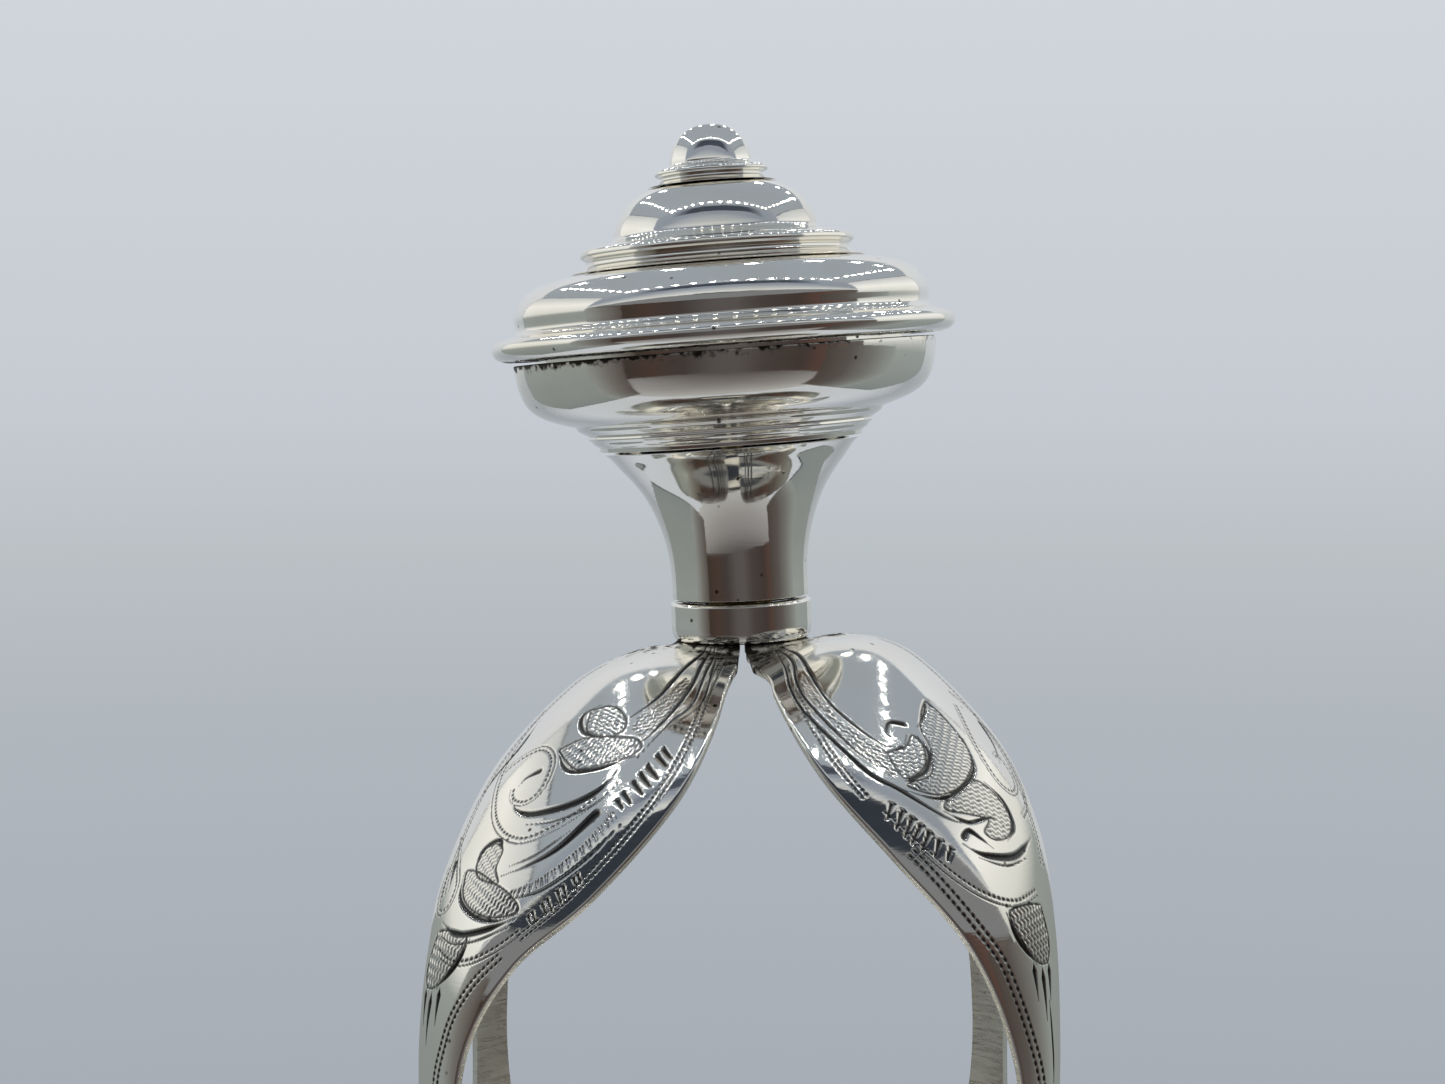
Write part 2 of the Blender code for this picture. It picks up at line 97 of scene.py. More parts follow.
BACK_RIGHT = [
    (2.2, -1.0, 1.7, 0.06, 0.0), (8.0, -1.3, 7.1, 0.16, 0.0), (17.0, -2.8, 11.7, 0.40, 0.0),
    (27.3, -10.4, 14.2, 0.47, 0.0), (35.4, -19.4, 11.4, 0.48, 0.0), (40.6, -28.6, 6.6, 0.42, 0.0),
    (43.6, -38.6, 3.5, 0.32, 0.0), (44.3, -49.0, 2.6, 0.20, 0.0), (44.1, -58.0, 2.7, 0.10, 0.0),
]

SIDES = 160               # sides of a large turned piece
SAME_POINT = 0.004        # points of an outline closer than this become one
LONGEST_SPAN = 1.5        # of an outline
OFF_SHEET = -50.0         # the place along a cut design of a point that takes none
ARCH_GRID = 0.15          # spacing of an engraved arch's rows
ARCH_COLUMNS = 184
BACK_COLUMNS = 9


# ---------------------------------------------------------------- curves

def smooth(points, per_span):
    """Points on a Catmull-Rom curve through the given ones, which may hold any values."""
    ends = [points[0], *points, points[-1]]
    found = []
    for a, b, c, d in zip(ends, ends[1:], ends[2:], ends[3:]):
        for k in range(per_span):
            t = k / per_span
            found.append(tuple(
                0.5 * (2 * q + (r - p) * t + (2 * p - 5 * q + 4 * r - s) * t * t
                       + (3 * q - p - 3 * r + s) * t ** 3)
                for p, q, r, s in zip(a, b, c, d)
            ))
    return [*found, tuple(points[-1])]


def rounded(points, closed, steps=5):
    """A curve drawn inside the corners. A point's third value, if any, limits its rounding."""
    count = len(points)
    found = []
    for k, point in enumerate(points):
        here = np.array(point[:2], float)
        if not closed and k in (0, count - 1):
            found.append(here)
            continue
        reach = point[2] if len(point) > 2 else math.inf
        ends = []
        for other in (points[k - 1], points[(k + 1) % count]):
            step = np.array(other[:2], float) - here
            length = np.hypot(*step)
            ends.append(here + step * min(reach, length / 2) / length)
        for j in range(steps + 1):
            t = j / steps
            found.append((1 - t) ** 2 * ends[0] + 2 * t * (1 - t) * here + t * t * ends[1])
    kept = [found[0]]
    for point in found[1:]:
        if np.hypot(*(point - kept[-1])) > SAME_POINT:
            kept.append(point)
    if closed and np.hypot(*(kept[0] - kept[-1])) < SAME_POINT:
        kept.pop()
    return divided(kept, closed)


def divided(points, closed):
    """The same line with points added on its long straight spans."""
    found = [points[0]]
    for a, b in zip(points, points[1:] + points[:1] if closed else points[1:]):
        count = max(1, math.ceil(np.hypot(*(b - a)) / LONGEST_SPAN))
        found += [a + (b - a) * k / count for k in range(1, count + 1)]
    return np.array(found[:-1] if closed else found)


def lengths(points):
    """Distance along a line of points at each of them."""
    steps = np.hypot(*np.diff(np.asarray(points, float)[:, :2], axis=0).T)
    return np.concatenate([[0.0], np.cumsum(steps)])


def headings(curve):
    """Unit steps along a line of points."""
    step = np.gradient(curve, axis=0)
    return step / np.hypot(*step.T)[:, None]


def slanted(step, lean):
    """A unit vector to the left of a unit step, leaning along it."""
    out = np.array([-step[1], step[0]]) + step * lean
    return out / np.hypot(*out)


def half_round(r, z, size, bore, count=10):
    """Outline of a ring with a half-round outside, from its top to its bottom."""
    turn = [math.pi / 2 - math.pi * k / count for k in range(count + 1)]
    outside = [(r + size * math.cos(a), z + size * math.sin(a)) for a in turn]
    return [(bore, z + size, 0.1), *outside, (bore, z - size, 0.1)]


# ---------------------------------------------------------------- materials

class Nodes:
    """Shorthand for building a material's node tree."""

    def __init__(self, name):
        self.material = bpy.data.materials.new(name)
        self.material.use_nodes = True
        self.tree = self.material.node_tree
        self.shader = self.tree.nodes["Principled BSDF"]

    def add(self, kind, **values):
        made = self.tree.nodes.new(kind)
        for key, value in values.items():
            setattr(made, key, value)
        return made

    def link(self, source, target):
        self.tree.links.new(source, target)

    def noise(self, scale, detail=3.0, stretch=(1, 1, 1), turn=(0, 0, 0)):
        place = self.add("ShaderNodeTexCoord")
        mapping = self.add("ShaderNodeMapping")
        mapping.inputs["Scale"].default_value = stretch
        mapping.inputs["Rotation"].default_value = turn
        texture = self.add("ShaderNodeTexNoise")
        texture.inputs["Scale"].default_value = scale
        texture.inputs["Detail"].default_value = detail
        self.link(place.outputs["Object"], mapping.inputs["Vector"])
        self.link(mapping.outputs["Vector"], texture.inputs["Vector"])
        return texture.outputs["Fac"]

    def ranged(self, value, low, high, to_low=0.0, to_high=1.0):
        made = self.add("ShaderNodeMapRange")
        made.inputs["From Min"].default_value = low
        made.inputs["From Max"].default_value = high
        made.inputs["To Min"].default_value = to_low
        made.inputs["To Max"].default_value = to_high
        self.link(value, made.inputs["Value"])
        return made.outputs["Result"]

    def math(self, operation, a, b):
        made = self.add("ShaderNodeMath", operation=operation)
        for value, socket in zip((a, b), made.inputs):
            if isinstance(value, (int, float)):
                socket.default_value = value
            else:
                self.link(value, socket)
        return made.outputs["Value"]

    def mix(self, share, a, b):
        made = self.add("ShaderNodeMix", data_type="RGBA")
        self.link(share, made.inputs[0])
        for value, socket in zip((a, b), (made.inputs[6], made.inputs[7])):
            if isinstance(value, tuple):
                socket.default_value = (*value, 1.0)
            else:
                self.link(value, socket)
        return made.outputs[2]

    def pits(self, scale, radius, rarity):
        """Round spots in the middle of a few of a Voronoi texture's cells."""
        place = self.add("ShaderNodeTexCoord")
        cells = self.add("ShaderNodeTexVoronoi")
        cells.inputs["Scale"].default_value = scale
        self.link(place.outputs["Object"], cells.inputs["Vector"])
        split = self.add("ShaderNodeSeparateColor")
        self.link(cells.outputs["Color"], split.inputs["Color"])
        inside = self.ranged(cells.outputs["Distance"], radius, radius * 2.2, 1.0, 0.0)
        return self.math("MULTIPLY", inside, self.math("GREATER_THAN", split.outputs["Red"], rarity))

    def attribute(self, name):
        return self.add("ShaderNodeAttribute", attribute_name=name).outputs["Fac"]


def worked_metal(name, colour, tarnish, roughness, cut_shade_colour=None):
    """Polished metal with hairline scratches, pits and tarnish.

    The mesh says how matte it is, how dark with dirt and painted shade, and how cut, from 0 to 1."""
    n = Nodes(name)
    matte = n.math("MULTIPLY", n.attribute("matte"), n.ranged(n.noise(230, 5), 0.30, 0.60, 0.35, 1.0))
    film = n.math("MAXIMUM", n.ranged(n.noise(70, 4), 0.45, 0.72, 0.0, 0.5), matte)
    patches = n.ranged(n.noise(1000, 5), 0.35, 0.65)
    # Dark bands of dirt and of painted shade where parts meet, broken up into patches.
    dirt_and_shade = n.math("SUBTRACT", n.math("MULTIPLY", n.attribute("dirt_and_shade"), 1.5), patches)
    dirt_and_shade = n.ranged(dirt_and_shade, 0.0, 0.5)
    pits = n.pits(420, 0.055, 0.72)
    surface = n.mix(film, colour, tarnish)
    surface = n.mix(pits, surface, PIT_COLOUR)
    surface = n.mix(dirt_and_shade, surface, DIRT_AND_SHADE_COLOUR)
    hairline = n.noise(260, 2, (1, 1, 14), (0.5, 0.9, 0.2))
    cross = n.noise(240, 2, (1, 16, 1), (0.9, 0.3, 1.1))
    roughened = [(film, 0.08), (matte, 0.20), (dirt_and_shade, 0.45)]
    if cut_shade_colour:
        # The cuts' dark colour is painted shade in the grooves.
        cut = n.attribute("cut")
        surface = n.mix(cut, surface, cut_shade_colour)
        roughened.append((cut, 0.25))
    rough = n.ranged(hairline, 0.35, 0.75, roughness * 0.7, roughness * 1.5)
    for cause, amount in roughened:
        rough = n.math("ADD", rough, n.math("MULTIPLY", cause, amount))
    bump = n.add("ShaderNodeBump")
    bump.inputs["Strength"].default_value = 0.12
    bump.inputs["Distance"].default_value = 0.00002
    height = n.math("SUBTRACT", n.math("ADD", hairline, cross), n.math("MULTIPLY", pits, 3.0))
    n.link(height, bump.inputs["Height"])
    n.link(bump.outputs["Normal"], n.shader.inputs["Normal"])
    n.link(surface, n.shader.inputs["Base Color"])
    n.link(rough, n.shader.inputs["Roughness"])
    n.shader.inputs["Metallic"].default_value = 1.0
    return n.material


POLISHED = (0.93, 0.905, 0.84)
PIT_COLOUR = (0.10, 0.085, 0.07)
# Dirt at seams, and painted shade where parts meet.
DIRT_AND_SHADE_COLOUR = (0.045, 0.037, 0.028)
# Painted shade inside engraved cuts.
CUT_SHADE_COLOUR = (0.06, 0.058, 0.055)

SILVER = worked_metal("polished_silver", POLISHED, (0.80, 0.74, 0.62), 0.055)
ENGRAVED = worked_metal("engraved_silver", POLISHED, (0.82, 0.77, 0.66), 0.060, CUT_SHADE_COLOUR)
GILT = worked_metal("gilt_inside", (0.93, 0.70, 0.33), (0.72, 0.48, 0.20), 0.14)
SATIN = worked_metal("unpolished_silver", (0.86, 0.83, 0.76), (0.66, 0.60, 0.50), 0.30)
BRASS = worked_metal("dull_brass", (0.66, 0.50, 0.24), (0.38, 0.27, 0.13), 0.32)


# ---------------------------------------------------------------- meshes

HAND_WAVES = (5.0, 8.0, 13.0, 19.0)
HAND_SEED = 7


def hand_work(points, size):
    """How far a spot of hand-raised silver stands off its true shape, from -size to size."""
    draw = np.random.default_rng(HAND_SEED)
    total = np.zeros(len(points))
    for wave in HAND_WAVES:
        direction = draw.normal(size=3)
        direction /= np.linalg.norm(direction)
        phase = draw.uniform(0, math.tau)
        total += np.sin(points @ direction * math.tau / wave + phase) * wave / HAND_WAVES[-1]
    return total / 2.4 * size


def linked_mesh(name, points, faces, material):
    """A mesh object from points in metres."""
    mesh = bpy.data.meshes.new(name)
    mesh.from_pydata(points, [], faces)
    mesh.materials.append(material)
    made = bpy.data.objects.new(name, mesh)
    bpy.context.scene.collection.objects.link(made)
    return made


def piece(name, node, points, faces, material, attributes):
    """A piece that stands for a CAD node, from points in millimetres, with named values at them."""
    made = linked_mesh(name, (points * MM).tolist(), faces, material)
    for key, values in attributes.items():
        layer = made.data.attributes.new(key, "FLOAT", "POINT")
        layer.data.foreach_set("value", values.astype(np.float32))
    made.data.shade_smooth()
    made.data.update()
    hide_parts(node)
    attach(made, BODIES[node])
    return made


def grid_faces(rows, columns, wrap=False, loop=False, first=0):
    """Quads between rows of points. The columns wrap round, and the rows loop, if asked to."""
    faces = []
    for i in range(rows if loop else rows - 1):
        a = first + i * columns
        b = first + (i + 1) % rows * columns
        for j in range(columns if wrap else columns - 1):
            k = (j + 1) % columns
            faces.append((a + j, b + j, b + k, a + k))
    return faces


def cap_faces(rows, sides):
    """Fans that close the first and last of some rows, to two points that come after them."""
    top, last = rows * sides, (rows - 1) * sides
    faces = []
    for j in range(sides):
        k = (j + 1) % sides
        faces.append((top, j, k))
        faces.append((top + 1, last + k, last + j))
    return faces


def normals_of(curve, closed):
    """Outward normals of a profile that runs down its outer side."""
    if closed:
        step = np.roll(curve, -1, 0) - np.roll(curve, 1, 0)
    else:
        step = np.gradient(curve, axis=0)
    step /= np.maximum(np.hypot(*step.T), 1e-9)[:, None]
    return np.stack([-step[:, 1], step[:, 0]], 1)


def spun(profile, around, sides):
    """A turned surface's points, or its normals, from a profile's."""
    r, z = np.repeat(profile, sides, 0).T
    return np.stack([r * np.cos(around), r * np.sin(around), z], 1)


def dirt_and_shade_bands(points, around, bands):
    """Dirt and painted shade in (height, reach) bands. A third value is the share left on the right-hand
    side.
    """
    dirt_and_shade_values = np.zeros(len(points))
    for height, reach, *right in bands:
        fade = 1 - (1 - (right or [1])[0]) * (0.5 + 0.5 * np.cos(around))
        dirt_and_shade_values = np.maximum(dirt_and_shade_values, fade * np.clip(1 - np.abs(points[:, 2] - height) / reach, 0, 1))
    return dirt_and_shade_values


def turned(node, outline, material=SILVER, closed=True, sides=SIDES, dents=0.012, dirt_and_shade=(),
           relief=None, shape=None, lean=False, work="turned"):
    """A turned piece that stands for a CAD node and rides with it.

    The bands of dirt and painted shade are given as (height, reach), with an optional share left on
    the right-hand side. relief gives each point's cut depth and the painted shade in its cut. shape
    moves whole points, given (points, radii, angles). work ends the piece's name."""
    curve = rounded(outline, closed)
    normal = normals_of(curve, closed)
    on_axis = (curve[:, 0] < 1e-6) & (not closed)
    ring = curve[~on_axis]
    radius = np.repeat(ring[:, 0], sides)
    around = np.tile(math.tau * np.arange(sides) / sides, len(ring))
    points = spun(ring, around, sides)
    out = spun(normal[~on_axis], around, sides)
    cut = np.zeros(len(points))
    if relief:
        along = np.repeat(lengths(curve)[~on_axis], sides)
        depth, cut = relief(points, along, radius, around)
        points = points - out * depth[:, None]
    points = points + out * hand_work(points, dents)[:, None]
    dirt_and_shade_values = dirt_and_shade_bands(points, around, dirt_and_shade)
    if shape:
        points = shape(points, radius, around)
    faces = grid_faces(len(ring), sides, wrap=True, loop=closed)
    if not closed:
        faces += cap_faces(len(ring), sides)
        points = np.vstack([points, *([0, 0, z] for z in curve[on_axis][:, 1])])
        dirt_and_shade_values = np.append(dirt_and_shade_values, (dirt_and_shade_values[0], dirt_and_shade_values[-1]))
        cut = np.append(cut, (0, 0))
    if lean:
        points = leaned(points)
    made = piece(f"{node}_{work}", node, points, faces, material, {"dirt_and_shade": dirt_and_shade_values, "cut": cut})
    made.data.set_sharp_from_angle(angle=math.radians(50))
    return made


# ---------------------------------------------------------------- engraving

class Relief:
    """Cuts drawn on a sheet. S runs along it and U across it, in millimetres, at each point."""

    def __init__(self, along, across):
        self.s = along
        self.u = across
        self.depth = np.zeros(len(along))
        # How dark each point is with painted shade in its cut.
        self.dark = np.zeros(len(along))

    def near(self, points, reach):
        """Which of the sheet's points lie in a box round some points."""
        low, high = points.min(0) - reach, points.max(0) + reach
        inside = (self.s > low[0]) & (self.s < high[0]) & (self.u > low[1]) & (self.u < high[1])
        return np.nonzero(inside)[0]

    def lay(self, at, depth, dark):
        """Adds a cut where it is deeper, or its painted shade darker, than what is there."""
        self.depth[at] = np.maximum(self.depth[at], depth)
        self.dark[at] = np.maximum(self.dark[at], dark)

    def line(self, points, width, steepness=0.75, bulge=0.0, fade=(0.25, 0.25)):
        """A cut along a curve. bulge 0 keeps its width, 1 swells it from nothing at the ends. fade is
        the share of its length that each end narrows over."""
        curve = np.array(smooth(points, 8)) if len(points) > 2 else np.linspace(points[0], points[1], 6)
        along = lengths(curve)
        share = along / along[-1]
        ends = np.clip(np.minimum(share / max(fade[0], 1e-3), (1 - share) / max(fade[1], 1e-3)), 0.12, 1)
        half = width / 2 * ends * (1 - bulge + bulge * np.sin(math.pi * share) ** 0.8)
        at = self.near(curve, width)
        if not len(at):
            return
        best = np.full(len(at), 9.0)
        wide = np.full(len(at), 1.0)
        s, u = self.s[at], self.u[at]
        for a, b, wa, wb in zip(curve, curve[1:], half, half[1:]):
            d = b - a
            t = np.clip(((s - a[0]) * d[0] + (u - a[1]) * d[1]) / max(d @ d, 1e-9), 0, 1)
            w = np.maximum(wa + (wb - wa) * t, 0.05)
            off = np.hypot(s - a[0] - d[0] * t, u - a[1] - d[1] * t) / w
            closer = off < best
            best[closer] = off[closer]
            wide[closer] = w[closer]
        cut = np.clip(1 - best, 0, 1)
        deep = steepness * np.minimum(wide, 0.32)
        # The darkness across the groove is painted shade.
        self.lay(at, cut * deep, np.clip((1.12 - best) / 0.5, 0, 1))

    def dots(self, points, pitch=0.62, size=0.36, depth=0.10):
        """A row of small oblong punch marks."""
        curve = np.array(smooth(points, 10))
        along = lengths(curve)
        count = max(2, round(along[-1] / pitch))
        for k in range(count):
            a, b = ((k + share) / count * along[-1] for share in (0.12, 0.62))
            ends = [(np.interp(x, along, curve[:, 0]), np.interp(x, along, curve[:, 1])) for x in (a, b)]
            self.line(ends, size, depth / (size / 2), fade=(0, 0))

    def double_dots(self, points, gap=0.62, pitch=0.62, size=0.34):
        """Two rows of marks side by side: a fine solid one and a broken one."""
        near, far = self.beside(points, gap)
        self.line(near, 0.17)
        self.dots(far, pitch, size)

    def dotted_pair(self, points, gap=0.62, pitch=0.62, size=0.34):
        """Two broken rows side by side."""
        for row in self.beside(points, gap):
            self.dots(row, pitch, size)

    def beside(self, points, gap):
        """Two curves on either side of a curve, a gap apart."""
        curve = np.array(smooth(points, 6))
        step = headings(curve)
        side = np.stack([-step[:, 1], step[:, 0]], 1)
        return [[tuple(p) for p in curve[::4] + side[::4] * gap * sign] for sign in (0.5, -0.5)]

    def inside(self, outline, at):
        """Whether each point lies inside a closed outline."""
        s, u = self.s[at], self.u[at]
        found = np.zeros(len(at), bool)
        for a, b in zip(outline, np.roll(outline, -1, 0)):
            crosses = (a[1] > u) != (b[1] > u)
            slope = (b[0] - a[0]) / (b[1] - a[1] if abs(b[1] - a[1]) > 1e-9 else 1e-9)
            found ^= crosses & (s < a[0] + (u - a[1]) * slope)
        return found

    def hatch(self, outline, turn, pitch=0.56, curl=0.0):
        """Wriggled lines, dark with painted shade, that fill an outline. turn is their direction in degrees.
        """
        closed = np.array(smooth([*outline, outline[0]], 8))
        at = self.near(closed, 0.1)
        if not len(at):
            return
        at = at[self.inside(closed, at)]
        a = math.radians(turn)
        middle = closed.mean(0)
        s, u = self.s[at] - middle[0], self.u[at] - middle[1]
        across = s * math.cos(a) + u * math.sin(a)
        along = u * math.cos(a) - s * math.sin(a)
        phase = (across + curl * along ** 2) / pitch + 0.22 * np.sin(along * math.tau / 0.95)
        wave = np.abs(phase - np.floor(phase) - 0.5) * 2
        cut = np.clip((wave - 0.30) / 0.6, 0, 1)
        self.lay(at, cut * 0.10, np.clip((wave - 0.52) / 0.28, 0, 1) * 0.82)

    def leaf(self, outline, turn, bold=(), pitch=0.56, curl=0.0):
        """A hatched leaf with a fine edge, and a bold cut along part of it, dark with painted shade on its
        shadow side.
        """
        self.hatch(outline, turn, pitch, curl)
        self.line([*outline, outline[0]], 0.28, fade=(0, 0))
        if bold:
            self.line(bold, 0.66, bulge=0.8)

    def wedge(self, base, tip, width):
        """A chisel cut that narrows to its tip, deep along one side and dark there with painted shade."""
        base, tip = np.array(base), np.array(tip)
        step = tip - base
        size = np.hypot(*step)
        at = self.near(np.array([base, tip]), width)
        s, u = self.s[at] - base[0], self.u[at] - base[1]
        along = (s * step[0] + u * step[1]) / size ** 2
        across = (u * step[0] - s * step[1]) / size / (width / 2 * (1 - 0.5 * np.clip(along, 0, 1)))
        inside = (along > 0) & (along < 1) & (np.abs(across) < 1)
        across = across[inside]
        self.lay(at[inside], 0.20 * (1 + across) / 2, np.clip((across + 0.55) / 0.35, 0, 1))

    def ribs(self, points, count, short, long, lean=0.0, width=0.62):
        """A row of wedge cuts across a curve, longest in its middle."""
        curve = np.array(smooth(points, 12))
        step = headings(curve)
        for k in range(count):
            share = (k + 0.5) / count
            i = round(share * (len(curve) - 1))
            size = short + (long - short) * math.sin(math.pi * (0.15 + 0.8 * share))
            self.wedge(curve[i], curve[i] + slanted(step[i], lean) * size, width)

    def strokes(self, points, pitch, size, lean=0.6):
        """A fringe of fine slanting cuts along a curve."""
        curve = np.array(smooth(points, 12))
        step = headings(curve)
        length = lengths(curve)[-1]
        for k in range(round(length / pitch)):
            i = round(k * pitch / length * (len(curve) - 1))
            tip = curve[i] + slanted(step[i], lean * (1 if k % 2 else 0.5)) * size
            self.line([curve[i], tip], 0.24, fade=(0.05, 0.9))

    def comma(self, points):
        """A bold cut with a round head at its first point."""
        self.line(points, 0.85, fade=(0.02, 0.9))


def edge_border(r, half, low, high, side, inset):
    """A dotted double line that follows a sheet's edge at an inset from it."""
    stations = np.arange(low, high, 2.6)
    r.dotted_pair([(s, side * (half(s) - inset)) for s in stations], gap=0.55, pitch=0.58, size=0.32)


def left_design(r, half):
    """Scrolls of the left arches. U is positive on the side of the crown's front or back."""
    for points, width in (
        ([(3, 0.6), (8.3, 3.3), (15.3, 5.4), (20.2, 4.2), (21.2, 2.6)], 0.55),
        ([(3, 1), (7.3, 3.9), (14, 7.6), (21.2, 7.8), (25.4, 5.4)], 0.55),
        ([(4, 2), (8, 5.3), (15, 9.1), (19.6, 8.7), (24.5, 8.2)], 0.42),
        ([(5, 3.3), (9, 6.6), (14.5, 9.9), (19, 9.6)], 0.30),
    ):
        r.line(points, width, bulge=0.5)
    r.hatch([(12.5, 5.9), (16, 6.1), (20.6, 5), (21.6, 7.2), (17, 8), (13.5, 7.2)], 65)
    r.leaf([(20.2, -1.5), (19.2, 1), (20.4, 3.8), (22.2, 4.4), (23.2, 2.4), (22.8, 0)], 20,
           [(19.2, -0.6), (21, -2.2), (23.1, -0.3), (23.4, 2.6)])
    r.leaf([(25.7, -2.1), (24, 0.1), (23, 3.5), (22.4, 6.9), (24, 7.7), (26.4, 4.7), (27.6, 1.8)],
           72, [(25.7, -2.1), (28, 1.1), (27, 4.7), (24.3, 7.9)])
    r.line([(25.9, 7.1), (29.2, 6.5), (31.9, 4.1), (33.7, 0.2), (33.5, -2.6), (32.2, -4.4)], 1.05, bulge=0.9)
    r.line([(27.6, 8), (31, 6.9), (33.9, 3.6), (35, 0.2)], 0.28)
    r.double_dots([(29, -10.2), (26.9, -8), (25.6, -5), (26.6, -2.2), (29, -0.8), (31.4, -0.7),
                   (32.7, -2.2), (32.4, -4.4), (31, -5.5)], gap=0.5)
    r.comma([(28.5, -2.7), (29.5, -4.2), (30.6, -4.6)])
    r.double_dots([(30.3, 6.9), (34.1, 4.6), (36.8, 0.9), (36, -3.6), (32.6, -7.8), (28, -10.6),
                   (22.5, -12), (17.8, -12.4)])
    r.line([(21, -10.6), (25, -10.2), (29, -11.6), (33, -12.4)], 0.75, bulge=0.8)
    r.line([(31.4, 7.9), (36.2, 6), (39, 3.7), (41, 0.8)], 1.1, fade=(0.02, 0.9))
    r.line([(34.5, 6), (37.8, 3.8), (39.8, 1.2)], 0.26)
    r.strokes([(31, 9.2), (35.8, 8), (40.2, 5.5), (42.2, 3)], 0.36, 1.05)
    r.line([(32, 10.9), (37, 9.2), (41.4, 6.3), (43.4, 2.6)], 0.30)
    r.leaf([(37.6, -2.5), (38.2, -1), (40.3, -0.5), (41.8, 0.8), (41.6, -2.4), (40.1, -3.9), (38.4, -3.8)],
           60, [(38.6, -0.7), (37.2, -2.3), (38.3, -4.1), (40.4, -4.1)])
    r.leaf([(41, -5.2), (41, -3), (41.8, 0.2), (42.7, 3.4), (44, 5), (45.3, 2.6), (45.2, -0.4),
            (43.8, -3.4)], 70, [(41.2, -5.4), (44.2, -3.6), (45.7, -0.2), (45.6, 3), (44.2, 5.2)])
    r.ribs([(22, 10), (26.1, 9.5), (30.2, 8.8)], 7, 1, 2.2, 0.3, width=0.85)
    r.ribs([(38, 9.3), (41.2, 7.6), (44.4, 6)], 8, 0.8, 1.8, 0.3, width=0.55)
    r.double_dots([(36.6, -11.2), (39.8, -8.3), (42.6, -5.6), (45.3, -5.2), (45.8, -7), (43.2, -9),
                   (40.4, -10)], gap=0.5)
    r.comma([(39.9, -8.9), (41.9, -7.7), (43.6, -6.8)])
    r.line([(44.8, 5.2), (46.9, 2), (47.9, -1.6), (46.9, -5)], 0.85, bulge=0.85)
    r.line([(45.8, 4.9), (48, 1.8), (48.9, -1.6), (48.2, -4.4)], 0.26)
    r.double_dots([(45.9, 6.3), (49.5, 3.2), (50.7, -0.8), (49.5, -5)], gap=0.5)
    pendant(r, -2.6)
    edge_border(r, half, 5, 47, 1, 2)
    edge_border(r, half, 11, 45, -1, 2.3)
    r.dotted_pair([(48.8, 5.2), (53.9, 2.2), (59.1, 0.9), (64, 0.2), (70, 0.6), (76, 0.4)], gap=0.6)


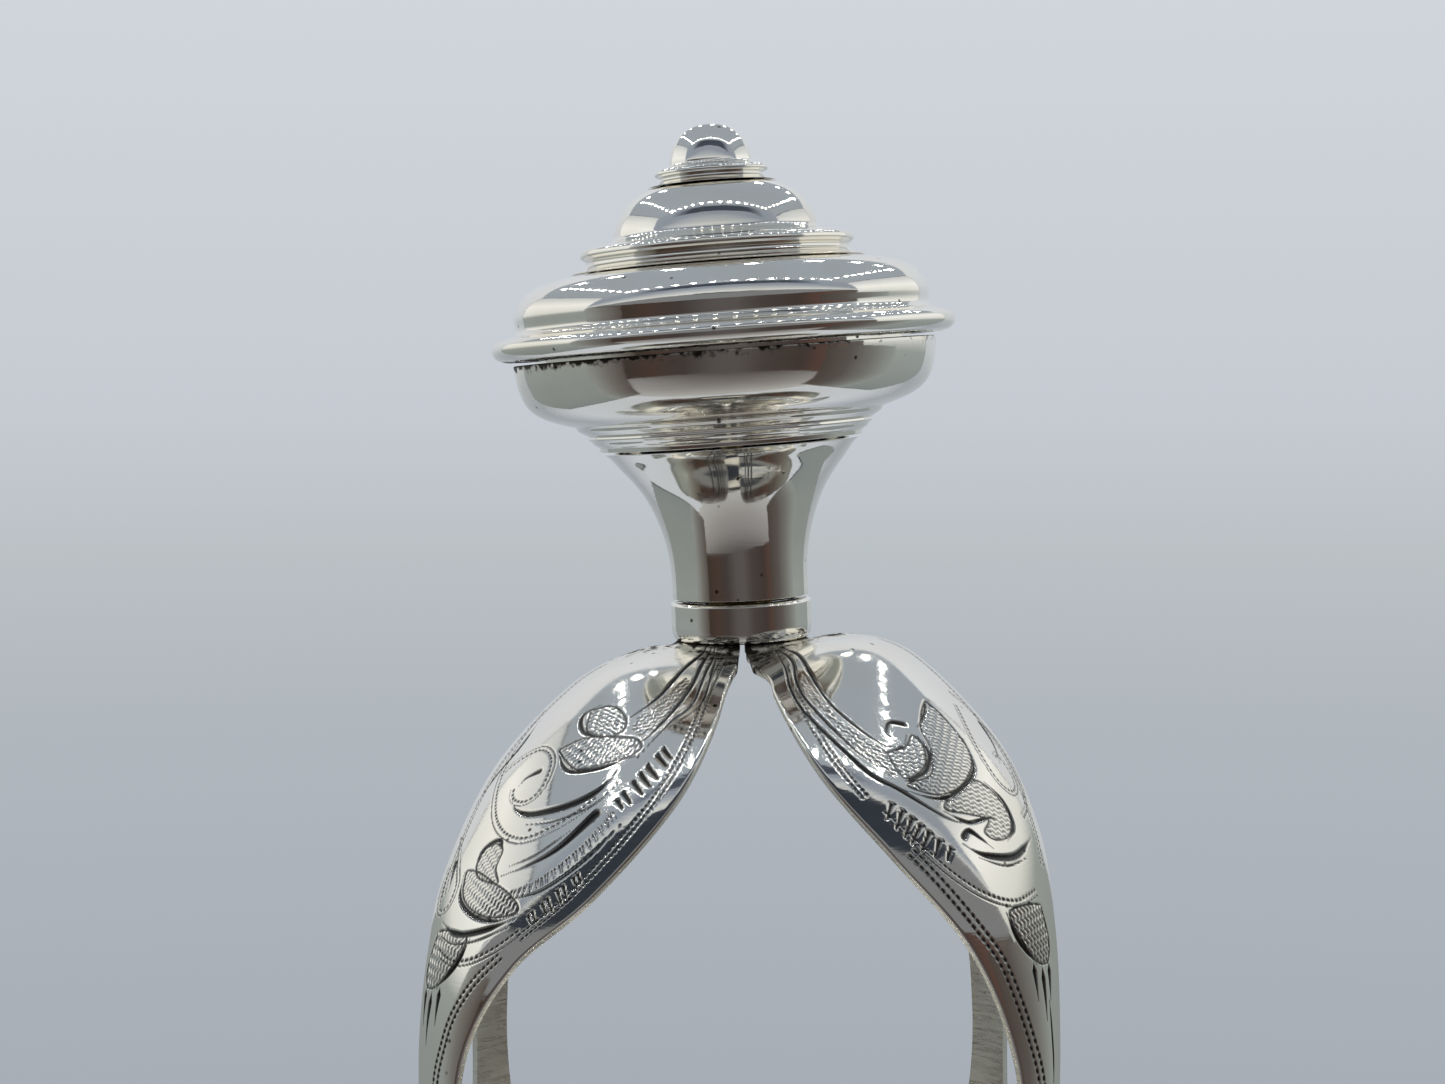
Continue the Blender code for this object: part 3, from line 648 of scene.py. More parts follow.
def right_design(r, half):
    """Scrolls of the right arches."""
    for points, width in (
        ([(3.5, 0.4), (10, 4.5), (15, 7.3), (20.5, 8.7), (25, 8), (27.7, 6.6), (28.3, 4.6),
          (27.2, 3.2)], 0.50),
        ([(4.5, 1.6), (11, 6.3), (17.9, 10.3), (26.4, 10.2), (31.6, 8)], 0.50),
        ([(5.5, 2.8), (12, 8.2), (19.5, 11.6), (28.9, 10.7), (33, 8.1), (37.4, 4.3), (38.2, 1),
          (37.7, -1.2)], 0.50),
    ):
        r.line(points, width, bulge=0.4)
    r.comma([(26, 2.5), (25.3, 4.2), (26.5, 5.4), (27.7, 4.6)])
    r.hatch([(15.5, 8.2), (20.5, 9.3), (25.2, 8.7), (28.5, 7), (31.3, 7.7), (28, 9.6), (24, 10.1),
             (17.5, 9.8)], 70)
    r.leaf([(28.5, 7), (28.5, 4.4), (27.4, 2.6), (29, 2.2), (31.2, 3.7), (31.9, 6.8)], 20,
           [(27.3, 2.1), (29.8, 2), (31.8, 4), (32.3, 7)])
    r.leaf([(23.3, -3), (25.6, -3.9), (29.5, -4.3), (32.2, -2.9), (34.3, 0.8), (34.6, 4), (33.2, 6.6),
            (32.5, 6.6), (32.3, 3.6), (29.6, 1.5), (27, 0.9), (24.8, -1)], 48,
           [(28.6, -4.6), (32.4, -3.2), (34.6, 0.8), (35, 4.4), (33, 7.8)], curl=0.03)
    r.line([(23.2, -3.1), (25, -1.4), (26.6, 1.2)], 0.5, bulge=0.5)
    r.leaf([(34.9, 2.6), (33.8, -1.4), (34.6, -3.3), (36.6, -4.5), (38.8, -4.6), (40.4, -2.9), (40.6, -0.6),
            (39.6, 0.6), (38.4, -0.8), (37.4, 1.4), (36.2, 4.2)], 25,
           [(34.2, -3.4), (36.6, -5), (39.4, -4.7), (41, -2.2)])
    r.line([(36.4, 4.5), (38.2, 2.2), (38.2, -1.4), (39.3, -2.8)], 0.5, bulge=0.6)
    r.comma([(39.6, 3.7), (39.1, 2.6), (40.2, 1.5), (41.4, 0.4)])
    r.line([(40.2, 4.2), (41.9, 1.9), (42.6, -2.5), (40.8, -7.4)], 0.95, bulge=0.85)
    r.line([(41.9, 3), (43.4, -0.4), (43, -4.4)], 0.26)
    r.ribs([(33.6, 9.9), (36, 8.3), (38.3, 7), (40.7, 5.2)], 7, 1.2, 2.6, 0.2, width=0.72)
    r.double_dots([(34.6, 11.2), (40.3, 8.4), (43.6, 6.2), (46.2, 3.2), (47.3, -0.6), (46.2, -5.6)], gap=0.6)
    r.dotted_pair([(39.4, 10.1), (46.7, 6.7), (52.2, 3.9), (57.3, 2.5), (64.9, 0.6), (71, 0.7),
                   (77, 0.4)], gap=0.75, pitch=0.8, size=0.46)
    r.double_dots([(23.6, -8.4), (29.5, -6), (34, -6), (35.6, -8), (34.6, -10.2), (32.2, -10.9),
                   (30.4, -9.8), (31.2, -8.4)], gap=0.5)
    r.comma([(25.6, -11.7), (29, -11), (31.8, -9.2)])
    r.double_dots([(21.5, -9.6), (25, -12.2), (31, -13), (36, -11.2), (38.4, -7.6)], gap=0.5)
    pendant(r, -1.6)
    r.line([(57.3, -1.9), (65.4, -1.4)], 0.3)
    edge_border(r, half, 17, 34, 1, 2.1)
    edge_border(r, half, 11, 47, -1, 2.3)


def pendant(r, middle):
    """A hatched palmette with three flames, hanging down a sheet from under the scrolls."""
    r.leaf([(47.9, middle - 2.6), (47.6, middle), (48, middle + 2.9), (50.6, middle + 2.4),
            (53.2, middle + 0.8), (53.6, middle - 1.2), (51.6, middle - 2.4)], 80,
           [(48, middle + 3.4), (50.9, middle + 2.7), (53.6, middle + 0.8)], pitch=0.62)
    for across, low, high in ((-1.3, 53.8, 57.4), (0.1, 54, 59.2), (1.4, 53.4, 57)):
        r.line([(low, middle + across), (high, middle * 0.7 + across * 0.8)], 0.7, fade=(0.1, 0.8))


# ---------------------------------------------------------------- crown

class Ridge:
    """An arch's ridge line, read at any distance from the crown's top."""

    def __init__(self, ridge):
        self.stations = np.array(smooth(ridge + ARCH_FEET, 40))
        self.along = lengths(self.stations)
        self.length = self.along[-1]

    def at(self, s):
        return np.stack([np.interp(s, self.along, column) for column in self.stations.T], -1)

    def half(self, s):
        """Half the sheet's width across, measured over its curve."""
        row = self.at(s)
        return row[..., 2] / np.sin(row[..., 3]) * row[..., 3]


def arch_rows(length):
    """Distances of the rows: close together where the sheet is engraved, then wider."""
    fine = np.arange(0, 66, ARCH_GRID)
    return np.concatenate([fine, np.linspace(fine[-1] + 0.25, length, 60)])


def arch_surface(line, rows):
    """Points, outward normals and distances from the ridge over an arch's outer side."""
    r, z, half_width, half_angle, tilt = line.at(rows).T[..., None]
    slope_r, slope_z = np.gradient(r, rows, axis=0), np.gradient(z, rows, axis=0)
    size = np.hypot(slope_r, slope_z)
    out_r, out_z = -slope_z / size, slope_r / size
    section = half_width / np.sin(half_angle)
    turn = half_angle * np.linspace(-1, 1, ARCH_COLUMNS)
    drop = section * (1 - np.cos(turn))
    side = section * np.sin(turn)
    up = side * np.sin(tilt) - drop * np.cos(tilt)
    level = side * np.cos(tilt) + drop * np.sin(tilt)
    surface = np.stack([r + out_r * up, level, CROWN_TOP_Z + z + out_z * up], -1)
    facing = np.cos(turn - tilt)
    normal = np.stack([out_r * facing, np.sin(turn - tilt), out_z * facing], -1)
    return surface, normal, section * turn


def arch_sheet(node, angle, ridge, design, near_side):
    """An engraved arch. near_side is +1 if its U axis runs with the section's own direction."""
    line = Ridge(ridge)
    rows = arch_rows(line.length)
    surface, normal, u = arch_surface(line, rows)
    cuts = Relief(np.repeat(rows, ARCH_COLUMNS), (u * near_side).ravel())
    design(cuts, line.half)
    to_edge = line.half(rows)[:, None] - np.abs(u)
    depth = cuts.depth.reshape(u.shape) + 0.16 * np.clip(1 - to_edge / 0.3, 0, 1) ** 2
    raised = hand_work(surface.reshape(-1, 3), 0.035).reshape(u.shape) + solder(surface, angle)
    front = surface - normal * (depth - raised)[..., None]
    few = np.linspace(0, ARCH_COLUMNS - 1, BACK_COLUMNS).round().astype(int)
    back = (surface - normal * ARCH_WALL)[:, few]
    points, faces = joined_sheet(front, back, few)
    values = arch_finish(rows, surface, near_side)
    values["cut"] = (cuts.dark, 0.0)
    flat = {key: np.append(front_value, np.broadcast_to(back_value, back.shape[:2]))
            for key, (front_value, back_value) in values.items()}
    made = piece(node + "_engraved", node, turn_z(points, angle), faces, ENGRAVED, flat)
    made.data.materials.append(SATIN)
    plain = np.arange(len(faces)) >= (len(rows) - 1) * (ARCH_COLUMNS - 1)
    made.data.polygons.foreach_set("material_index", plain.astype(np.int32))
    made.data.set_sharp_from_angle(angle=math.radians(55))


def arch_finish(rows, surface, near_side):
    """Dirt and painted shade at an arch's root, dirt round its rivet, and its upper part's matte film: each
    on front and back.
    """
    across = np.linspace(-1, 1, ARCH_COLUMNS)
    # The root's darkening is dirt and painted shade where the arch meets the collar, stronger at its edges.
    root = np.clip(1 - (rows - 6.5) / 4.0, 0, 1)[:, None] * (0.55 + 0.45 * np.abs(across))
    far = np.clip(0.5 - across * near_side, 0, 1)
    matte = np.clip(1.25 - rows / 15, 0, 1)[:, None] * (0.45 + 0.55 * far)
    dirt_and_shade = np.maximum(root * 0.62, rivet_hole(surface))
    return {"dirt_and_shade": (dirt_and_shade, 0.06 + 0.5 * root[:, :1]), "matte": (matte, 0.0)}


def solder(surface, angle):
    """How far solder raises an arch's root to meet the collar's underside."""
    world = turn_z(surface.reshape(-1, 3), angle)
    under = CROWN_TOP_Z + world[:, 0] * math.sin(math.radians(COLLAR_LEAN_DEG))
    ring = np.exp(-((np.hypot(world[:, 0], world[:, 1]) - 6.4) / 1.35) ** 4)
    gap = np.clip(under + 0.05 - world[:, 2], 0, 1.2)
    lumps = 0.9 + hand_work(world * 4.0, 0.12)
    return (ring * gap * lumps).reshape(surface.shape[:2])


def rivet_hole(surface):
    """Dirt round the rivet near an arch's foot."""
    away = np.hypot(surface[..., 1], surface[..., 2] - RIVET_Z)
    return np.clip(1.6 - away / 1.9, 0, 1)


def joined_sheet(front, back, picked):
    """One closed mesh from a dense front and a coarse back that share their rows."""
    rows, columns = front.shape[:2]
    few = back.shape[1]
    first = rows * columns
    points = np.concatenate([front.reshape(-1, 3), back.reshape(-1, 3)])
    faces = grid_faces(rows, columns)
    faces += [face[::-1] for face in grid_faces(rows, few, first=first)]
    for i in range(rows - 1):
        left, right = i * columns, i * columns + columns - 1
        inner_left, inner_right = first + i * few, first + i * few + few - 1
        faces.append((left, inner_left, inner_left + few, left + columns))
        faces.append((right, right + columns, inner_right + few, inner_right))
    for i, turn in ((0, 1), (rows - 1, -1)):
        for j in range(few - 1):
            outer = [i * columns + k for k in range(picked[j], picked[j + 1] + 1)]
            ring = (*outer, first + i * few + j + 1, first + i * few + j)
            faces.append(ring[::turn])
    return points, faces


def turn_z(points, degrees):
    a = math.radians(degrees)
    turn = np.array([[math.cos(a), -math.sin(a), 0], [math.sin(a), math.cos(a), 0], [0, 0, 1]])
    return points @ turn.T


def crown():
    arch_sheet("arch_front_left", -135, FRONT_LEFT, left_design, 1)
    arch_sheet("arch_front_right", -45, FRONT_RIGHT, right_design, -1)
    arch_sheet("arch_back_left", 135, BACK_LEFT, right_design, -1)
    arch_sheet("arch_back_right", 45, BACK_RIGHT, left_design, 1)
    plug = [(1.5, 2.6, 0.1), (5.3, 2.6, 0.2), (5.7, 2.2, 0.2), (5.7, 0.2, 0.1), (1.5, 0.2, 0.1)]
    turned("crown_boss", plug, sides=64, lean=True, dirt_and_shade=[(0.2, 1.4)])
    for name, angle in (("front_left", -135), ("back_left", 135), ("front_right", -45), ("back_right", 45)):
        rivet("rivet_" + name, angle)


def rivet(node, angle):
    """A round-headed rivet that lies along the radius."""
    back, front = CIRCLET_R - 1.3, ARCH_FOOT_R + 0.3
    outline = [(0, front + 0.8), (0.9, front + 0.75), (1.6, front + 0.4), (1.9, front, 0.1),
               (0.95, front, 0.1), (0.95, back, 0.1), (1.7, back, 0.1), (1.5, back - 0.5), (0, back - 0.6)]
    made = turned(node, outline, closed=False, sides=40, dents=0, dirt_and_shade=[(front, 0.35)])
    lie = Matrix.Translation((0, 0, RIVET_Z * MM)) @ Matrix.Rotation(math.radians(90), 4, "Y")
    made.data.transform(Matrix.Rotation(math.radians(angle), 4, "Z") @ lie)


# ---------------------------------------------------------------- finial

def leaned(points):
    """Points, turned upright from height 0, moved onto the finial's bent centreline."""
    start, bowl = math.radians(COLLAR_LEAN_DEG), math.radians(BOWL_LEAN_DEG)
    bend_r = STEM_TOP_H / (bowl - start)
    h = points[:, 2]
    held = np.clip(h, 0, STEM_TOP_H)
    bent = start + (bowl - start) * held / STEM_TOP_H
    x = bend_r * (np.cos(bent) - math.cos(start)) - (h - held) * np.sin(bent)
    z = bend_r * (np.sin(bent) - math.sin(start)) + (h - held) * np.cos(bent)
    return np.stack([x + points[:, 0] * np.cos(bent), points[:, 1],
                     CROWN_TOP_Z + z + points[:, 0] * np.sin(bent)], 1)


def over_rim(outline):
    """An outline drawn with heights over the lid's rim, given heights over the collar's foot."""
    return [(r, LID_RIM_H + height, *reach) for r, height, *reach in outline]


def finial():
    ring = [(7.3, 4.4, 0.1), (7.72, 4.1, 0.12), (7.68, 2.6), (7.72, 1.3), (7.5, 0.35), (7, 0, 0.2),
            (6, 0, 0.1), (6, 4.4, 0.1)]
    # The band at the collar's foot is painted shade where it meets the arches; the thin one at its top is a
    # dirty seam.
    turned("finial_collar", ring, lean=True, dirt_and_shade=[(0, 0.4), (4.5, 0.14)])
    stem = [(13.95, STEM_TOP_H, 0.1), (13.2, 20.6), (12.4, 19.5), (11.2, 18.1), (10.1, 16.6), (9.25, 15),
            (8.5, 13.1), (7.9, 11), (7.55, 8.8), (7.42, 6.8), (7.45, 4.7, 0.1), (6.45, 4.7, 0.1),
            (6.5, 8.8), (7.5, 13.1), (9.2, 16.8), (11.6, 20), (12.9, STEM_TOP_H, 0.1)]
    turned("finial_stem", stem, lean=True, dirt_and_shade=[(4.45, 0.34)])
    bowl = [(0, -9), (8, -8.9), (16, -7.9), (19.6, -6.3), (20.8, -4.6), (20.8, -1.8, 0.2),
            (23, -1.8, 0.2), (22.95, -2.8), (22.7, -4.4), (22, -6.4), (20.3, -7.8), (18, -8.6),
            (16.8, -8.95, 0.15), (16.6, -9.35, 0.12), (16, -9.75), (15.5, -10, 0.1),
            (15.6, -10.35, 0.15), (15.2, -10.6, 0.1), (14.95, -11), (14.4, -11.3, 0.12),
            (14.35, -11.8, 0.1), (8, -10.4), (0, -10.5)]
    # Under the lid's rim: dark dirt on the left, fading to a soft painted shade on the right.
    turned("finial_bowl", over_rim(bowl), closed=False, lean=True, dirt_and_shade=[(LID_RIM_H - 1.85, 0.95, 0.25)])
    band = [(23.2, 1.3, 0.1), (24.4, 0.95), (25.2, 0.5, 0.5), (25.25, -0.5, 0.5), (24.6, -1.2, 0.4),
            (23.6, -1.4, 0.2), (23.2, -1.4, 0.1)]
    # Where the rim sits on the bowl: dirt on the left, fading to painted shade on the right.
    turned("lid_rim_ring", over_rim(band), lean=True, dirt_and_shade=[(LID_RIM_H - 1.45, 0.30, 0.3)])
    lower = [(13.2, 7.75, 0.1), (14, 7.5), (16, 7.3), (18.4, 7), (20.6, 6.2), (22.1, 4.9), (22.7, 3.4),
             (22.5, 2.3, 0.3), (22.5, 1.75), (23, 1.4), (23.1, 1.3, 0.1), (22.9, -1.3, 0.1),
             (21.9, -1.3, 0.1), (21.5, 4), (19.2, 5.6), (15.2, 6.5), (13.2, 6.7, 0.1)]
    turned("lid_lower_dome", over_rim(lower), lean=True, dents=0.02)
    seat = [(20.4, 3.4, 0.1), (20.4, -3.4, 0.2), (19.6, -3.4, 0.2), (19.6, 3.4, 0.1)]
    turned("lid_seat_ring", over_rim(seat), lean=True)
    middle = [(4.4, 16.6, 0.1), (5.4, 16.5), (7.2, 16), (9.2, 14.9), (10.6, 13.1), (11.1, 11.6),
              (11.2, 10.9), (12.3, 10.5), (13.8, 10.2, 0.4), (14.85, 9.9, 0.3), (14.95, 9.2, 0.3),
              (14.3, 8.8, 0.2), (14.3, 8.25), (15, 7.8), (16.1, 7.5, 0.05), (15.9, 7.38, 0.05),
              (14.2, 7.66, 0.1), (13.4, 8.05, 0.1), (9.4, 8.05, 0.1), (9.2, 12.4), (7, 14.8),
              (4.4, 15.5, 0.1)]
    turned("lid_middle_dome", over_rim(middle), lean=True, dents=0.015)
    knob = [(0, 22.7), (1.5, 22.7), (3, 21.95), (4.05, 20.6), (4.5, 19), (4.5, 18.4, 0.2), (5.2, 18.2),
            (6.1, 17.95, 0.25), (6.25, 17.45, 0.25), (5.6, 17.15, 0.15), (5.65, 16.8), (6.2, 16.5),
            (7, 16.25, 0.05), (6.7, 16.2, 0.05), (5.2, 16.72, 0.1), (0, 16.9)]
    turned("lid_knob", over_rim(knob), closed=False, sides=96, lean=True)


# ---------------------------------------------------------------- cover

def cover():
    inner = CUP_RIM_R - 2.4
    seat = [(inner + 1, CUP_RIM_Z, 0.1), (inner + 1, 157.6, 0.2), (inner, 157, 0.2),
            (inner, CUP_RIM_Z, 0.1)]
    turned("cover_seat_ring", seat)
    plate = [(0, 181), (13, 180.6), (26, 178.4), (35, 175.2), (39.4, 173.3), (40.4, SEAT_Z, 0.2),
             (44.9, SEAT_Z, 0.2), (45.2, 172.6, 0.2), (45.4, 171.6), (46.6, 169.9), (48.9, 169, 0.4),
             (50.3, 168.5, 0.5), (50.8, 167.1), (50.5, 165.7, 0.5), (49.2, 165.3, 0.3), (42.8, 165.3, 0.1),
             (42.8, 171.6, 0.2), (39.4, 172, 0.2), (35, 174.2), (26, 177.4), (13, 179.6), (0, 180)]
    turned("cover_plate", plate, closed=False, dents=0.02, relief=plate_cuts,
           dirt_and_shade=[(SEAT_Z, 0.3), (165.3, 0.3)])
    band = [(CIRCLET_R, CIRCLET_TOP_Z, 0.1), (CIRCLET_R, 173.3, 0.1), (CIRCLET_R - 1, 173.3, 0.1),
            (CIRCLET_R - 1, CIRCLET_TOP_Z, 0.1)]
    dense = [*spaced(band[0], band[1], 56), *band[2:]]
    turned("circlet_band", dense, ENGRAVED, sides=960, relief=band_cuts, work="engraved",
           dirt_and_shade=[(173.3, 0.5), (CIRCLET_TOP_Z, 0.4)])
    rope_ring("circlet_base_wire", CIRCLET_R + 1.15, SEAT_Z + 1.5, 1.05, 132)
    rope_ring("circlet_top_wire", CIRCLET_R - 0.5, CIRCLET_TOP_Z + 1, 0.7, 170)


def spaced(start, end, count):
    """Points evenly from start to end, the first and last kept sharp."""
    inner = [(start[0] + (end[0] - start[0]) * k / count, start[1] + (end[1] - start[1]) * k / count)
             for k in range(1, count)]
    return [(*start[:2], 0.1), *inner, (*end[:2], 0.1)]


def rope_ring(node, radius, height, size, turns):
    """A ring of twisted wire, of two strands."""
    around = math.tau * np.arange(turns * 8) / (turns * 8)
    section = math.tau * np.arange(14) / 14
    a, b = np.meshgrid(around, section, indexing="ij")
    strand = 0.80 + 0.20 * np.abs(np.cos(b - a * turns / 2))
    spread = size * strand
    out = radius + spread * np.cos(b)
    points = np.stack([out * np.cos(a), out * np.sin(a), height + spread * np.sin(b)], -1).reshape(-1, 3)
    faces = grid_faces(len(around), len(section), wrap=True, loop=True)
    dirt_and_shade_values = 0.8 * np.clip((0.93 - strand) / 0.13, 0, 1).ravel()
    piece(node + "_twisted", node, points, faces, SILVER, {"dirt_and_shade": dirt_and_shade_values})


def sector(around, count, phase=0.0):
    """Angle from the middle of the nearest of count equal sectors."""
    width = math.tau / count
    return (around - phase + width / 2) % width - width / 2


def band_cuts(points, along, radius, around):
    """A running scroll round the circlet's outside."""
    outside = radius > CIRCLET_R - 0.5
    cuts = Relief(np.where(outside, along, OFF_SHEET), sector(around, 16, math.radians(11.25)) * CIRCLET_R)
    for low in (1.1, 9):
        cuts.line([(low, -9), (low, 9)], 0.26, fade=(0, 0))
    for side in (-1, 1):
        cuts.line([(8.2, 8.3 * side), (5.4, 6.4 * side), (2.4, 4.2 * side), (2, 2.0 * side),
                   (4.4, 1.2 * side), (5.6, 2.8 * side), (4.4, 3.8 * side)], 0.45, bulge=0.4)
        cuts.leaf([(8, 0), (7.2, 1.6 * side), (5, 0.9 * side), (2, 0), (5, 0.1 * side)], 80)
        cuts.ribs([(7.6, 2.2 * side), (7.4, 4.6 * side)], 4, 0.5, 1.1)
    return cuts.depth * 0.8, cuts.dark


def plate_cuts(points, along, radius, around):
    """A ring of petals between two lines, on the plate inside the crown."""
    top = (points[:, 2] > SEAT_Z + 0.1) & (along < 46)
    cuts = Relief(np.where(top, along, OFF_SHEET), sector(around, 12) * radius)
    for low in (6, 33.5):
        cuts.line([(low, -20), (low, 20)], 0.35, fade=(0, 0))
    for side in (-1, 1):
        cuts.line([(7, 0), (18, 3.4 * side), (26, 4.2 * side), (31.5, 0)], 0.5, bulge=0.5)
    cuts.line([(9, 0), (29, 0)], 0.4, bulge=0.6)
    return cuts.depth, cuts.dark


# ---------------------------------------------------------------- cup

def cup_outline(out, from_z, count):
    """The cup's outer side moved out, from a height down to the axis."""
    start = math.asin(min(1.0, ((CUP_RIM_Z - from_z) / CUP_DEPTH) ** (CUP_SQUARENESS / 2)))
    a = start + (math.pi / 2 - start) * np.arange(count + 1) / count
    r = CUP_RIM_R * np.maximum(np.cos(a), 0) ** (2 / CUP_SQUARENESS)
    r[-1] = 0.0
    z = CUP_RIM_Z - CUP_DEPTH * np.sin(a) ** (2 / CUP_SQUARENESS)
    curve = np.stack([r, z], 1)
    moved = curve + normals_of(curve, False) * out
    moved[-1] = (0.0, z[-1] - out)
    return [tuple(p) for p in moved]


def cup():
    outer = cup_outline(0, CUP_RIM_Z, 48)
    inner = cup_outline(-1, CUP_RIM_Z, 48)
    outline = [*inner[:0:-1], (CUP_RIM_R - 1, CUP_RIM_Z, 0.4), (CUP_RIM_R, CUP_RIM_Z, 0.4), *outer[1:]]
    made = turned("cup", outline, closed=False, dents=0.03)
    made.data.materials.append(GILT)
    centre = Vector((0, 0, CUP_CENTRE_Z * MM))
    for face in made.data.polygons:
        if face.normal.dot(face.center - centre) < 0 and face.center.z < (CUP_RIM_Z - 0.1) * MM:
            face.material_index = 1
    lip = half_round(CUP_RIM_R + 0.6, CUP_RIM_Z - 2.4, 1.3, CUP_RIM_R + 0.3)
    turned("cup_lip_ring", lip, dirt_and_shade=[(161.4, 0.3), (163.8, 0.2)])
    boss = [(7.6, 106.4, 0.3), (7.6, 104.2, 0.3), (BORE_R, 104.2, 0.1), (BORE_R, 106.4, 0.1)]
    turned("cup_boss", boss, sides=64)
    calyx()


def calyx():
    """The dish under the cup, with a dotted line under its top edge and lobes chased up its side."""
    inner = [p for p in cup_outline(0.4, CALYX_TOP_Z, 40) if p[0] > 9.0]
    outer = [p for p in cup_outline(1.5, CALYX_TOP_Z, 40) if p[0] > 12.0]
    base = [(10.6, 103.6), (9.6, 101.3, 0.2), (BORE_R, 101.3, 0.1), (BORE_R, 103.9, 0.1), (8.4, 103.9, 0.2)]
    outline = [(*outer[0], 0.2), *outer[1:], *base, *inner[1:][::-1], (*inner[0], 0.2)]

    def cuts(points, along, radius, around):
        outside = along < lengths(outer)[-1]
        r = Relief(np.where(outside, along, OFF_SHEET), sector(around, 12) * radius)
        r.double_dots([(1.4, -11), (1.4, 0), (1.4, 11)], gap=0.7)
        for side in (-1, 1):
            r.line([(3.4, 0), (6, 5.0 * side), (14, 6.8 * side), (24, 3.6 * side),
                    (33, 0.8 * side)], 0.7, bulge=0.5)
            r.line([(6, 9.8 * side), (12, 8.6 * side), (20, 6.6 * side)], 0.45, bulge=0.6)
            r.ribs([(9, 1.2 * side), (20, 0.9 * side)], 9, 1, 2.4)
        r.leaf([(4.6, 0), (7.4, 1.7), (9.4, 0), (7.4, -1.7)], 45)
        r.line([(9.5, 0), (31, 0)], 0.5, bulge=0.4)
        return r.depth, r.dark

    turned("calyx", outline, ENGRAVED, sides=720, relief=cuts, dents=0.02, work="engraved",
           dirt_and_shade=[(CALYX_TOP_Z, 0.3), (101.6, 0.3)])


# ---------------------------------------------------------------- stem and foot

def lobed(count, low, high, size):
    """Gadroons: a turned surface swells into lobes between two heights."""
    def shape(points, radius, around):
        share = np.clip((points[:, 2] - low) / (high - low), 0, 1)
        swell = np.sin(math.pi * share) ** 0.7
        lobe = np.abs(np.cos(around * count / 2)) ** 0.7
        scale = 1 - size * swell * (1 - lobe) / np.maximum(radius, 1.0)
        return np.stack([points[:, 0] * scale, points[:, 1] * scale, points[:, 2]], 1)
    return shape


def stem():
    turned("foot_neck_ring", half_round(9.2, 36.3, 2, BORE_R), sides=96,
           dirt_and_shade=[(34.3, 0.35), (38.3, 0.3)])
    lower = [(7.6, 54.7, 0.2), (6.4, 52.4), (5.7, 48), (5.9, 44), (7, 40.6), (9, 38.6, 0.2),
             (BORE_R, 38.6, 0.1), (BORE_R, 54.7, 0.1)]
    turned("stem_lower", lower, sides=96, dirt_and_shade=[(38.8, 0.35), (54.7, 0.3)])
    turned("knop_lower_ring", half_round(8.6, 56.25, 1.25, BORE_R), sides=96,
           dirt_and_shade=[(55, 0.3), (57.5, 0.3)])
    egg = [(7, 80.2, 0.2), (11.9, 78.2), (15.3, 73.8), (16.1, 68.2), (14.2, 62.8), (10.4, 59.2),
           (7, 57.8, 0.2), (6.4, 58.8, 0.2), (9.8, 60.4), (13.2, 63.6), (14.9, 68.2), (14.2, 73.2),
           (11.2, 77.2), (6.6, 79.2, 0.2)]
    turned("knop", egg, sides=320, shape=lobed(16, 58.4, 79.4, 1.5), dirt_and_shade=[(80.2, 0.35), (57.8, 0.35)])
    turned("knop_upper_ring", half_round(8.6, 81.75, 1.25, BORE_R), sides=96,
           dirt_and_shade=[(80.5, 0.3), (83, 0.3)])
    upper = [(9.4, 101, 0.2), (7.4, 98.4), (6.1, 93.6), (5.7, 88.6), (6.3, 85.4), (7.8, 83.3, 0.2),
             (BORE_R, 83.3, 0.1), (BORE_R, 101, 0.1)]
    turned("stem_upper", upper, sides=96, dirt_and_shade=[(101, 0.3), (83.4, 0.3)])


def foot():
    rim = [(50.4, 5, 0.3), (52, 4.8), (53.3, 4), (54, 2.2, 0.6), (FOOT_R, 0, 0.3), (50, 0, 0.3),
           (50, 4.7, 0.2)]
    turned("foot_rim_ring", rim, sides=240, dents=0, dirt_and_shade=[(5, 0.2)])
    outer = [(9, 34, 0.2), (9.4, 29), (12.5, 24.2), (18.5, 20.6), (26.5, 18.4), (33.8, 16),
             (37.8, 12.2), (40.4, 9), (44.6, 7.4), (48.4, 6.9), (49.6, 5.9, 0.4), (49.6, 1, 0.1)]
    inner = [(48.6, 1, 0.1), (48.6, 5.4), (44.4, 6.4), (39.8, 8.1), (36.9, 11.6), (33.2, 15),
             (26.2, 17.4), (18.2, 19.6), (11.8, 23.4), (8.4, 29), (8, 34, 0.2)]
    dense = [p for a, b in zip(outer[4:10], outer[5:11]) for p in spaced(a, b, 3)[:-1]]
    outline = [*outer[:4], *[(r, z) for r, z, *_ in dense], *outer[10:], *inner]
    turned("foot_dome", outline, ENGRAVED, sides=720, relief=foot_cuts, dents=0.03, work="chased",
           dirt_and_shade=[(34, 0.35), (5.2, 0.5)])


